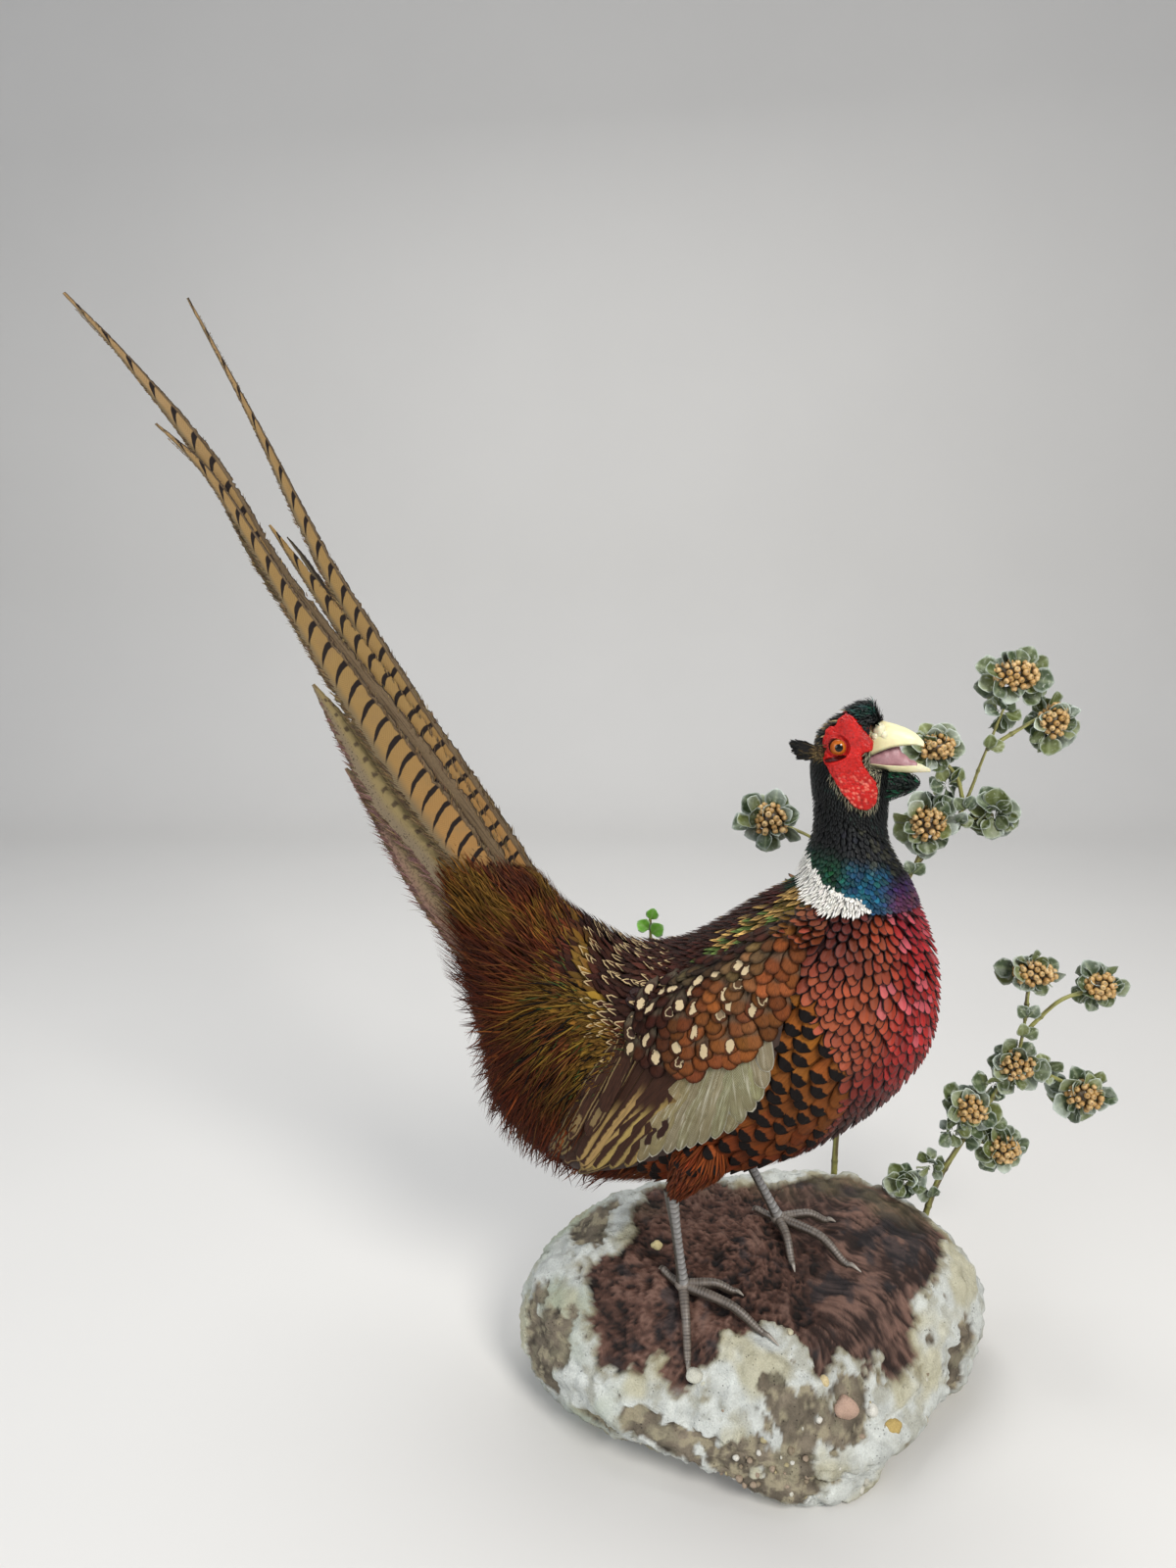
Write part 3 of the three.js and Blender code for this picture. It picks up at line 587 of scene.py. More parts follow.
class Coat:
    """A tract of feathers, gathered and then made in pieces of limited size."""

    def __init__(self, surface, unwrap):
        self.surface, self.unwrap, self.parts = surface, unwrap, []

    def grow(self, x, y, heading, length, width, outline, columns, tint, sunk, lift=0.0,
             camber=.12, bent=None, bend=0.0, ragged=.05, shown=.75, spread=0.0, chance=None):
        """Adds feathers whose visible middle is at (x, y) of the surface. bent is how much
        their sideways bends differ."""
        count = len(x)
        if bent is not None:
            bend = rng.normal(0, bent, count)
        length, width, lift, sunk, bend, spread = (
            np.broadcast_to(np.asarray(v, float), count)
            for v in (length, width, lift, sunk, bend, spread))
        n = slopes(self.surface, x, y)[3]
        heading = unit(heading - n * dot(heading, n))
        back = trace(self.surface, x, y, -heading, [length * shown / 3] * 3, 4)[-1]
        shares, widths = np.array(OUTLINES[outline]).T
        lengths = [length * gap for gap in np.diff(shares)]
        rows = trace(self.surface, back[0], back[1], -back[3], lengths, len(shares))
        across = np.linspace(-1, 1, columns)
        chance = rng.random(count) if chance is None else chance
        points = np.empty((count, len(shares), columns, 3))
        vane = np.empty((count, len(shares), columns, 2))
        rim = np.empty_like(vane)
        total_bend = bend[:, None] * shares**2 * length[:, None]
        for k, (rx, ry, _, t, rn, rpx, rpy) in enumerate(rows):
            side = np.cross(t, rn)
            half = width * widths[k] * (1 + ragged * rng.normal(size=count))
            for j, q in enumerate(across):
                offset = q * half + total_bend[:, k]
                dx, dy = move(rpx, rpy, side * offset[:, None])
                h = (-sunk * .92 * (1 - shares[k]) + lift * shares[k] ** 2 - camber * half * q * q
                     + spread * q)
                points[:, k, j] = self.surface(rx + dx, ry + dy) + rn * h[:, None]
                vane[:, k, j] = np.stack([q * half, shares[k] * length], -1)
                to_tip = (1 - shares[k]) * length
                rim[:, k, j] = np.stack([np.minimum((1 - abs(q)) * half, to_tip), to_tip], -1)
        root = self.unwrap(*rows[0][:2])
        self.parts.append((points, vane, rim, root, np.concatenate([tint, chance[:, None]], 1)))

    def make(self, name, look, slot):
        """Makes the tract's pieces, which are named name_1, name_2 and so on."""
        made = []
        for points, vane, rim, root, tint in self.parts:
            rows, columns = points.shape[1:3]
            faces = (rows - 1) * columns * 2 + 2 * (columns - 2)
            size = PIECE_TRIANGLES // faces
            order = np.argsort(root[:, 0], kind="stable")
            for start in range(0, len(order), size):
                some = order[start:start + size]
                made.append(self.piece(
                    f"{name}_{len(made) + 1}", look, slot,
                    points[some], vane[some], rim[some], root[some], tint[some]))
        return made

    def piece(self, name, look, slot, points, vane, rim, root, tint):
        count, rows, columns, _ = points.shape
        each = rows * columns
        shift = np.arange(count)[:, None, None] * each
        s, q = grid(np.linspace(0, 1, rows), np.linspace(0, 1, columns))
        bake = patches(root)[:, None, None] + PATCH * np.stack([q, s], -1)[None]
        groups = [((faces + shift).reshape(-1, faces.shape[1]), is_smooth)
                  for faces, is_smooth in vane_faces(rows, columns)]
        return make_mesh(
            name, points, groups, look, slot,
            uvs={"Vane": vane.reshape(-1, 2), "Rim": rim.reshape(-1, 2),
                 "OFBake": bake.reshape(-1, 2)},
            tints=np.repeat(tint, each, 0))


def patches(root):
    """A free patch of the unwrap for each feather, as near its root's place as there is."""
    across = int(1 / (PATCH * 1.15))
    wanted = np.clip((root * across).astype(int), 1, across - 2)
    taken, out = set(), []
    for gx, gy in wanted:
        ring = 0
        while True:
            reach = range(-ring, ring + 1)
            spots = [(gx + i, gy + j) for i in reach for j in reach if max(abs(i), abs(j)) == ring]
            free = [(x, y) for x, y in spots
                    if 0 <= x < across and 0 <= y < across and (x, y) not in taken]
            if free:
                taken.add(free[0])
                out.append(free[0])
                break
            ring += 1
    return np.array(out) / across


def scatter(surface, x_range, y_range, spacing, keep, seed):
    """Places on a surface about spacing apart. keep(x, y) says where they may be."""
    random = np.random.default_rng(seed)
    _, px, py, _ = slopes(surface, *grid(np.linspace(*x_range, 40), np.linspace(*y_range, 40)))
    area = np.linalg.norm(np.cross(px, py), axis=-1)
    total = area.mean() * np.ptp(x_range) * np.ptp(y_range)
    count = int(total / spacing**2 * TRIES_EACH)
    x, y = random.uniform(*x_range, count), random.uniform(*y_range, count)
    _, px, py, _ = slopes(surface, x, y)
    local = np.linalg.norm(np.cross(px, py), axis=-1)
    chosen = (random.random(count) < local / area.max()) & keep(x, y)
    x, y = x[chosen], y[chosen]
    p = surface(x, y)
    tree = kdtree.KDTree(len(p))
    for i, place in enumerate(p):
        tree.insert(place, i)
    tree.balance()
    free = np.ones(len(p), bool)
    kept = []
    for i in range(len(p)):
        if free[i]:
            kept.append(i)
            for _, j, _ in tree.find_range(p[i], spacing):
                free[j] = False
    return x[kept], y[kept]


def plain(text, count):
    return np.tile(rgb(text), (count, 1))


def two_tone(count, share, one, other, random=rng):
    """One colour for a share of the tints and another for the rest."""
    return np.where(random.random((count, 1)) < share, rgb(one), rgb(other))


def jitter(tint, light, hue):
    """Tints with a little chance in their lightness and hue."""
    count = len(tint)
    grey = np.exp(light * rng.normal(size=(count, 1)))
    own = np.exp(hue * rng.normal(size=(count, 3)))
    return np.clip(tint * grey * own, 0, 1)


# ---------------------------------------------------------------- the plumage's plan

# The wing's upper and lower edge and the flank's lower edge, as slices and degrees from the
# back, and the collar's two edges, as degrees and slices.
TOP_EDGE, LOW_EDGE = WING_EDGES[:-1, :2].T, WING_EDGES[:-1, 2:].T
FLANK_EDGE = np.array([[15, 84], [15.8, 98], [16.5, 112], [17.5, 130], [18.5, 145], [19.5, 158],
                       [21, 165]]).T
COLLAR_TOP = np.array([[0, 10.75], [14, 10.9], [42, 11.2], [56, 11.6], [72, 11.75], [96, 12.0],
                       [108, 12.3]]).T
COLLAR_LOW = np.array([[0, 11.6], [14, 11.8], [42, 12.3], [56, 12.55], [72, 12.75], [96, 12.75],
                       [108, 12.35]]).T
# How far round from the back the collar reaches, in degrees.
COLLAR_REACH = 109
# The slices that the flank and the wing reach over.
FLANK_SPAN, WING_SPAN = (15.2, 20.9), (13, 22.3)

# The bare red skin of the face, as x and z seen from the side.
WATTLE_OUTLINE = np.array([
    [49.8, 453.4], [50.4, 457.9], [53.2, 460.3], [58.2, 460.2], [62, 455.6], [69.6, 447.6],
    [69.8, 441.4], [64.6, 440.4], [64.8, 435.2], [69.2, 429], [73.4, 423.6], [73.9, 414],
    [71.9, 408.4], [66.4, 407.4], [60.4, 410.6], [52.2, 420.4], [48, 427.6], [44, 433.6],
    [43, 441], [43.4, 449], [45.8, 452.4],
])


def degrees_from_back(a):
    return np.abs(np.degrees(a))


def inside(outline, x, z):
    """Distance in from an outline's edge, and less than 0 outside it."""
    distance = np.full(np.shape(x), 1e9)
    within = np.zeros(np.shape(x), bool)
    for (x0, z0), (x1, z1) in zip(outline, np.roll(outline, -1, 0)):
        dx, dz = x1 - x0, z1 - z0
        t = np.clip(((x - x0) * dx + (z - z0) * dz) / (dx * dx + dz * dz), 0, 1)
        distance = np.minimum(distance, np.hypot(x - x0 - t * dx, z - z0 - t * dz))
        crosses = (z0 > z) != (z1 > z)
        slope = dx / dz if dz else 0
        within ^= crosses & (x < x0 + (z - z0) * slope)
    return np.where(within, distance, -distance)


def rounded(outline):
    """The outline with its corners cut off."""
    after = np.roll(outline, -1, 0)
    cut = np.stack([outline * .75 + after * .25, outline * .25 + after * .75], 1)
    return cut.reshape(-1, 2)


FACE = rounded(WATTLE_OUTLINE)


def coat_depth(u):
    """How far the skin lies inside the bird's outline."""
    return 1.1 + 1.3 * step(u, 7.5, 9.5) + 2.2 * step(u, 11.3, 13)


def in_collar(u, degrees):
    ragged = .12 * noise(np.stack([u * 2.2, degrees / 7], -1), 5)
    top, low = np.interp(degrees, *COLLAR_TOP), np.interp(degrees, *COLLAR_LOW)
    return between(u, top + ragged, low + ragged) & (degrees < COLLAR_REACH)


def in_flank(u, degrees):
    return between(u, *FLANK_SPAN) & between(
        degrees, np.interp(u, *LOW_EDGE) - 8, np.interp(u, *FLANK_EDGE))


def under_wing(u, degrees, margin=5):
    """Whether a place lies under the wing, by more than a margin in degrees."""
    return between(u, *WING_SPAN) & between(
        degrees, np.interp(u, *TOP_EDGE) + margin, np.interp(u, *LOW_EDGE) - margin)


def plumage(u, a):
    """The plumage's colour at places of the body, for the feathers and the skin alike."""
    d = degrees_from_back(a)
    mottle = noise(np.stack([u * 2.1, a * 6.0], -1), 3)
    blotch = rough(np.stack([u * .9, a * 3.0], -1), 3, 11)

    colour = np.broadcast_to(rgb("8c3d24"), (*np.shape(u), 3)).copy()

    def lay(text, mask):
        nonlocal colour
        colour = blend(colour, text, np.clip(mask, 0, 1))

    # The breast: dark and purplish above, copper on the sides, crimson in front, and a painted
    # magenta sheen high on its front.
    lay("97492f", step(d, 150, 100) * step(u, 14, 15.5))
    lay("4f211d", step(d, 118, 88) * step(u, 15.2, 13.3) * .95)
    lay("9c1f1c", step(d, 118, 142) * step(u, 18.5, 17))
    # Painted magenta sheen high on the front of the breast.
    lay("9c2432", step(d, 122, 140) * step(u, 14.4, 12.9) * .8)
    # The flanks, golden above and orange below, and the dark belly.
    lay("935520", in_flank(u, d))
    lay("8c431a", in_flank(u, d) * step(u, 17.5, 19.5))
    edge = np.interp(u, *FLANK_EDGE)
    lay("2a1510", step(d, edge, edge + 9) * step(u, 16.6, 18) * .9)
    # Darker low on the front of the breast: partly its dark feather edges, partly painted shade.
    lay("3a1612", step(d, 100, 124) * step(u, 15.2, 17.6) * .45)
    # The mantle, with green and gold next to the collar.
    lay("3c1d14", step(d, 62, 48) * step(u, 12.6, 13.4))
    lay("6d6a1c", step(d, 24, 34) * step(d, 60, 50) * step(u, 14.6, 13.6) * (.6 + .4 * mottle))
    # The back and the rump.
    lay("3a1c12", step(d, 75, 60) * step(u, 16, 17))
    lay("643417", step(u, 18.6, 19.6) * step(d, 56, 68) * ~in_flank(u, d))
    lay("7a3b1d", step(u, 21.5, 23.5))
    lay("7a5a1e", step(u, 19.5, 20.5) * step(d, 126, 100) * step(blotch, -.05, .5) * .85)
    lay("6b2a10", step(u, 20.5, 22) * step(d, 96, 120) * .8)
    lay("8d4119", step(u, 22.5, 24.5) * step(d, 70, 110) * step(mottle, -.2, .6) * .7)
    lay("26130e", step(blotch, .1, -.6) * step(u, 17, 19) * step(d, 130, 100) * .6)
    # The neck: black, with green behind and at the sides, blue, and purple in front.
    neck = step(u, 12.75, 12.35)
    lay("050706", neck)
    lay("0b3a26", neck * step(u, 10.1, 11.2) * step(d, 100, 70) * .9)
    lay("12603c", neck * step(u, 11.2, 11.8) * step(d, 100, 60) * step(mottle, -.4, .5))
    lay("125068", neck * step(u, 10.2, 11.3) * step(d, 70, 95) * step(d, 150, 125))
    lay("331a45", neck * step(u, 10.9, 11.8) * step(d, 112, 140))
    lay("5c2f4a", neck * step(u, 11.7, 12.3) * step(d, 118, 145))
    lay("10151f", neck * step(u, 8.6, 9.5) * step(u, 10.6, 9.8) * step(d, 60, 90) * .4)
    # The head: a green-black cap with a teal gleam, reddish in front and buff behind.
    head = step(u, 8.6, 8.0)
    lay("070b09", head)
    lay("12362f", head * step(u, 1.0, 1.8) * step(u, 4.0, 2.8) * step(d, 12, 22) * step(d, 48, 36))
    lay("4a1712", head * step(u, 1.9, .9) * step(d, 34, 16) * step(mottle, -.5, .6) * .6)
    lay("5a4a30", head * step(u, 4.2, 4.9) * step(u, 7.2, 6.2) * step(d, 38, 24)
        * step(noise(np.stack([u * 9, a * 28], -1), 8), .0, .45) * .8)
    colour = colour * .8
    lay("f2efe6", in_collar(u, d))
    return colour


def body_unwrap(u, a):
    return np.stack([a / (2 * math.pi) + .5, np.clip(u / 30, 0, 1)], -1)


# ---------------------------------------------------------------- skin


def thigh_surface(name):
    """The feathered thigh as a tube from the body to the ankle."""
    ankle, top = np.array(LEGS[name][0], float), np.array(THIGH_TOPS[name], float)
    up = unit(top - ankle)
    knots = [(*(top + up * 20), 7), (*top, 18.5), (*(top + (ankle - top) * .45), 13),
             (*(top + (ankle - top) * .8), 7.5), (*(ankle - (ankle - top) * .02), 4.2)]
    first = unit(np.cross(-up, [0.0, 1.0, 0.0]))
    second = np.cross(-up, first)

    def surface(t, a, grow=0.0):
        values = smooth(knots, t)
        radius = values[..., 3] + grow
        return values[..., :3] + radius[..., None] * (
            np.cos(a)[..., None] * first + np.sin(a)[..., None] * second)
    return surface


def throat_surface(t, a, grow=0.0):
    """The beard under the bill as a tube pointing forwards."""
    knots = [(74, 0, 416.5, 9.5), (81, 0, 419, 8), (88, 0, 420.6, 6.4), (93, 0, 421, 4.8),
             (97, 0, 421.4, 1.6)]
    values = smooth(knots, t)
    radius = values[..., 3] + grow
    way = np.stack([np.zeros_like(radius), np.sin(a), np.cos(a)], -1)
    return values[..., :3] + radius[..., None] * way


def tube_grid(end, rows, columns):
    return grid(np.linspace(0, end, rows),
                np.linspace(-math.pi, math.pi, columns, endpoint=False))


def make_skin(look):
    """One skin for head, neck, trunk, rump, thighs and throat."""
    rows, columns = 290, 128
    u, a = tube_grid(RUMP_END, rows, columns)
    p, _, _, n = slopes(body, np.clip(u, .01, None), a)
    under_face = inside(FACE, p[..., 0], p[..., 2]) > -1
    rings = p - n * (coat_depth(u) + under_face * 1.2)[..., None]
    middle = rings[-1].mean(0)
    out = unit(TAILWARD)
    dome = [middle + (rings[-1] - middle) * math.cos(k) + out * 14 * math.sin(k)
            for k in (.35, .7, 1.05, 1.35)]
    rings = np.concatenate([rings, dome])
    points, groups = ring_solid(rings)
    tint = plumage(u, a) * .8
    tint = np.concatenate([tint, np.repeat(tint[-1:], len(dome), 0)])
    skin = make_mesh("skin", points, groups, look, "breast_feathers", tints=capped(tint),
                     uvs={"OFBake": ring_uvs(len(rings), columns)},
                     replaces=["head", "neck", "trunk", "rump", "thigh_right", "thigh_left",
                               "throat_tuft"])
    limbs = [thigh_surface(name)(*tube_grid(4, 24, 28), -1.6) for name in SIDES]
    limbs.append(throat_surface(*tube_grid(3.9, 16, 20), -1.0))
    colours = ("5a2c14", "5a2c14", "06120e")
    for k, (limb, colour) in enumerate(zip(limbs, colours)):
        points, groups = ring_solid(limb)
        spot = ring_uvs(*limb.shape[:2]) * .02 + [.02 + .03 * k, .97]
        other = make_mesh(f"skin_limb_{k}", points, groups, look, "breast_feathers",
                          tints=plain(colour, len(points)), uvs={"OFBake": spot})
        join = skin.modifiers.new("join", "BOOLEAN")
        join.operation, join.object, join.solver = "UNION", other, "MANIFOLD"
        with bpy.context.temp_override(object=skin, active_object=skin):
            bpy.ops.object.modifier_apply(modifier="join")
        bpy.data.objects.remove(other, do_unlink=True)
    spots, colour = np.empty(len(skin.data.vertices) * 3), np.empty(len(skin.data.vertices) * 4)
    skin.data.vertices.foreach_get("co", spots)
    skin.data.color_attributes["Tint"].data.foreach_get("color", colour)
    spots, colour = to_bird(spots.reshape(-1, 3) * 1000), colour.reshape(-1, 4)
    # White points are ones that the union left without a tint. The thighs' ones lie low.
    blank = colour[:, :3].min(1) > .97
    thigh = (spots[:, 2] < 260)[:, None]
    colour[blank, :3] = np.where(thigh, *map(rgb, colours[1:]))[blank]
    skin.data.color_attributes["Tint"].data.foreach_set("color", colour.ravel())


def skin_look():
    look = Look("skin", Roughness=.7)
    tint, _ = look.tint()
    down = look.noise(700, 4)
    return look.finish(shade(look, tint, down.ramp(.2, .8) * .5 + .6), bump=down, height=.001)


make_skin(skin_look())


# ---------------------------------------------------------------- feathers of the body


def scale_paint(look, x, y, rim, tip, tint, chance):
    """Copper with a dark, slightly uneven margin."""
    wobble = look.noise(700, 2) * .5
    margin = (rim + wobble + x.abs() * -.12).ramp(.5, 1.2)
    cheek = shade(look, tint, (tip.ramp(9, 1.5) * .35 + .8) * (look.noise(300, 2) * .4 + .8))
    return look.mix(margin, (.012, .006, .007), cheek)


def flank_paint(look, x, y, rim, tip, tint, chance):
    """Golden, with a bold black blotch across the tip."""
    wobble = look.noise(420, 3) * 3.4
    low = (tip + wobble + x.abs() * .25).ramp(8.4, 7.6)
    blot = low * (tip + wobble * .4).ramp(.3, 1.2) * chance.ramp(.12, .14)
    streak = look.noise(260, 3, look.place((1, 1, 3)))
    gold = look.mix(tip.ramp(6, 16), tint, shade(look, tint, .55))
    strand = look.strand(1.0, 3, x * 1.1, y * .06, chance)
    gold = shade(look, gold, streak * .4 + strand * .9 + .35)
    return look.mix(blot, gold, (.006, .004, .0035))


def lance_paint(look, x, y, rim, tip, tint, chance):
    """A dark middle inside a paler edge."""
    pale = rim.ramp(1.15, .5) * tip.ramp(9, 5)
    dark = shade(look, tint, .35)
    return look.mix(pale, dark, tint)


def chevron_paint(look, x, y, rim, tip, tint, chance):
    """Dark, and on some a cream V inside the edge of the tip."""
    wobble = look.noise(500, 2) * .7 - .35
    arrow = (rim + wobble - .75).abs().ramp(.5, .2) * tip.ramp(8, 5.5) * tip.ramp(.6, 1.3)
    cream = arrow * chance.ramp(.5, .6)
    return look.mix(cream, shade(look, tint, rim.ramp(0, .8) * .5 + .5), (.42, .31, .16))


def plain_paint(look, x, y, rim, tip, tint, chance):
    """The tint alone, a little darker towards the root and rim."""
    deep = (tip.ramp(7, 1) * .3 + .7) * (rim.ramp(0, .8) * .3 + .7)
    return shade(look, tint, deep * (look.noise(500, 2) * .5 + .75))


def along(surface, x, y):
    """The way along a surface's first number, as a unit vector at each place."""
    return unit(slopes(surface, x, y)[1])


def rump_flow(u, a):
    """The lie of the rump's hair: back along the body, then out round its end."""
    p, pu, _, _ = slopes(body, u, a)
    round_end = p - np.array([-88.0, 0, 286.0])
    round_end[..., 1] *= .35
    share = step(u, 19.5, 23.5)[..., None]
    up = step(u, 25.0, 28.0)[..., None]
    flow = unit(pu) * (1 - share) + unit(round_end) * share
    return unit(flow * (1 - up) + TAILWARD * up)


FULL_TURN = (-math.pi, math.pi)


def body_places(u_range, spacing, keep, seed, turn=math.pi):
    """Places of the body where keep(u, a, degrees from the back) holds, with the degrees."""
    u, a = scatter(body, u_range, (-turn, turn), spacing,
                   lambda u, a: keep(u, a, degrees_from_back(a)), seed)
    return u, a, degrees_from_back(a)


def face_distance(u, a):
    """How far a place of the head lies outside the bare face, seen from the side."""
    p = body(u, a)
    return -inside(FACE, p[..., 0], p[..., 2])


def make_head_feathers(look):
    """Short, glossy feathers over the head, and upright ones on its cap."""
    def keep(u, a, d):
        x, _, z = np.moveaxis(body(u, a), -1, 0)
        return (face_distance(u, a) > .2) & ~((x > BILL_SEAT - 1.2) & between(z, 431.5, 455.5))
    u, a, d = body_places((.05, 8.4), 1.28, keep, 21)
    coat = Coat(body, body_unwrap)
    crown = step(u, 2.4, 3.2) * step(u, 6.4, 5.2) * step(d, 44, 24)
    size = np.interp(u, [0, 5, 8.4], [3.0, 3.6, 5.2]) * (1 + .7 * crown)
    upright = step(u, 2.6, .6) * step(d, 60, 20)
    tint = jitter(plumage(u, a), .4, .12)
    gleam = (rng.random(len(u)) < .1)[:, None]
    tint = np.where(gleam, tint * 1.5 + rgb("0c1c18"), tint)
    tint = spotted(tint, rng.random(len(u)) < .4 * crown * step(u, 3.2, 4.4), "8d7a55", .3)
    coat.grow(u, a, along(body, u, a), size, size * .25, "small", 3, tint, 1.1,
              lift=.35 + upright * .6 + crown * 2.6 * rng.uniform(.6, 1, len(u)))
    # Longer, upright ones on the cap.
    u, a, d = body_places((.5, 5.6), 2.1, keep, 38, turn=.95)
    tint = two_tone(len(u), .4, "0e3b30", "050707")
    tint = spotted(tint, rng.random(len(u)) < .45 * step(u, 1.6, .9), "42100e")
    coat.grow(u, a, along(body, u, a) + rng.normal(0, .3, (len(u), 3)),
              rng.uniform(4, 6.5, len(u)), .75, "small", 3, sunk=1.1,
              lift=rng.uniform(.8, 2.8, len(u)), tint=jitter(tint, .4, .1), bent=.18)
    coat.make("head_feathers", look, "head_feathers")


def make_neck_feathers(look):
    """Glossy scales of the neck down to the collar."""
    def keep(u, a, d):
        end = np.where(d < COLLAR_REACH, np.interp(d, *COLLAR_TOP) + .15, 12.45)
        return between(u, 8, end)
    u, a, d = body_places((8.2, 12.5), 2.05, keep, 22)
    coat = Coat(body, body_unwrap)
    size = np.interp(u, [8.2, 10, 12.3], [5.2, 7.0, 10.5])
    tint = plumage(u, a)
    tint = np.where(in_collar(u, d)[:, None], tint, jitter(tint, .3, .15))
    olive = (rng.random(len(u)) < .35 * step(d, 95, 130) * step(u, 11.2, 10))[:, None]
    tint = np.where(olive, tint + rgb("2b2a1c"), tint)
    coat.grow(u, a, along(body, u, a), size, size * .26, "scale", 5, tint, 2.4, lift=.5,
              ragged=.12)
    coat.make("neck_feathers", look, "head_feathers")


def make_collar(look):
    """The white ring round the neck, open at the throat."""
    u, a, d = body_places((10.4, 13), 1.5, lambda u, a, d: in_collar(u, d), 23,
                          turn=math.radians(COLLAR_REACH + 5))
    coat = Coat(body, body_unwrap)
    tint = jitter(plain("f4f1e8", len(u)), .03, .01)
    size = rng.uniform(8, 11, len(u))
    coat.grow(u, a, along(body, u, a), size, size * .12, "lance", 5, tint, 2.5, lift=1.2,
              ragged=.2, bent=.1)
    coat.make("collar_feathers", look, "head_feathers")


def make_breast(look):
    """Copper scales of the breast, and more over the front of the wings."""
    def keep(u, a, d):
        mantle = d < np.interp(u, [12, 13, 14, 16], [52, 50, 44, 42])
        return ~(mantle | in_collar(u, d) | in_flank(u, d) | under_wing(u, d)) \
            & (d > 40) & ((u > 12.4) | (d > COLLAR_REACH))
    u, a, d = body_places((12.2, 19.2), 4.45, keep, 24)
    coat = Coat(body, body_unwrap)
    size = np.interp(u, [12.2, 13.5, 16, 19], [8.5, 10.5, 13.5, 15.5])
    tint = jitter(plumage(u, a), .16, .06)
    # A share of the front feathers made pinker: a painted pinkish sheen.
    pink = (rng.random(len(u)) < .22 * step(d, 110, 135) * step(u, 17, 15))[:, None]
    tint = np.where(pink, tint * .7 + rgb("b8606a") * .5, tint)
    coat.grow(u, a, along(body, u, a), size, size * .31, "scale", 7, tint, 4.4, lift=.5,
              camber=.15, ragged=.07, bent=.05)
    # A second layer over the front of the wings.
    u, a, d = body_places((12.7, 13.9), 3.6,
                          lambda u, a, d: under_wing(u + .5, d, -4) & (d > 52), 37)
    tint = jitter(plumage(u, a) + rgb("5a3018"), .25, .06)
    coat.grow(u, a, along(body, u, a), 12, 3.4, "scale", 7, tint, 3.5,
              lift=1.5 + 7 * step(u, 12.7, 13.4), camber=.15, ragged=.1, bent=.08)
    coat.make("breast_feathers", look, "breast_feathers")


def make_flanks(look):
    """The large golden feathers with a black blotch at the tip."""
    u, a, d = body_places((15, 23), 8.2, lambda u, a, d: in_flank(u, d), 25)
    coat = Coat(body, body_unwrap)
    size = np.interp(u, [15, 17, 20, 23], [18, 25, 34, 34])
    tint = jitter(plumage(u, a), .12, .06)
    coat.grow(u, a, along(body, u, a), size, size * .27, "round", 7, tint, 4.4, lift=1.2,
              camber=.14, ragged=.08, bent=.06)
    coat.make("flank_feathers", look, "breast_feathers")


def make_belly(look):
    """Dark, loose feathers between the flanks."""
    u, a, d = body_places((18.6, 24.5), 4.6, lambda u, a, d: (
        ~in_flank(u, d) & (d > np.interp(u, *FLANK_EDGE) - 2) & (u < 24.5)), 26)
    coat = Coat(body, body_unwrap)
    tint = jitter(plumage(u, a), .3, .08)
    coat.grow(u, a, along(body, u, a), 17, 1.7, "lance", 3, tint, 4.3, lift=.9, ragged=.15,
              bent=.12)
    coat.make("belly_feathers", look, "breast_feathers")


def make_mantle(look):
    """Lancets behind the collar, some of them cream and some green."""
    def keep(u, a, d):
        edge = np.interp(u, [12, 13, 14, 16], [55, 54, 50, 46])
        start = np.interp(d, [24, 44], [12.25, 11.5])
        return (d < edge) & ~in_collar(u, d) & (u > start)
    u, a, d = body_places((11.6, 17), 3.1, keep, 27, turn=1.1)
    coat = Coat(body, body_unwrap)
    size = rng.uniform(10, 14, len(u)) * np.interp(u, [12, 13.6], [.7, 1])
    tint = jitter(plumage(u, a), .2, .08)
    near = step(u, 15.9, 13.9) * step(d, 12, 26)
    tint = spotted(tint, rng.random(len(u)) < .68 * near, "b08c50", .25)
    green = .42 * step(u, 13.0, 14) * step(u, 16, 14.8) * step(d, 20, 32)
    tint = spotted(tint, rng.random(len(u)) < green, "5c6f36", .35)
    coat.grow(u, a, along(body, u, a), size, size * .2, "lance", 5, tint, 4.3,
              lift=.7 - 1.6 * step(u, 13.6, 12.4), ragged=.12, bent=.08)
    coat.make("mantle_feathers", look, "rump_feathers")


def make_back(look):
    """Short feathers with cream arrows on the lower back."""
    u, a, d = body_places((16.3, 22.8), 3.6, lambda u, a, d: (
        d < np.interp(u, [16, 18, 19.6, 20.8, 22], [44, 52, 66, 80, 86])), 28, turn=1.6)
    coat = Coat(body, body_unwrap)
    size = rng.uniform(12, 17, len(u))
    tint = jitter(plumage(u, a), .3, .06)
    marks = rng.random(len(u)) * (.5 + .5 * step(u, 21.6, 20.4))
    coat.grow(u, a, rump_flow(u, a), size, size * .2, "lance", 7, tint, 4.3, lift=.8,
              ragged=.15, bent=.14, chance=marks)
    coat.make("back_feathers", look, "rump_feathers")


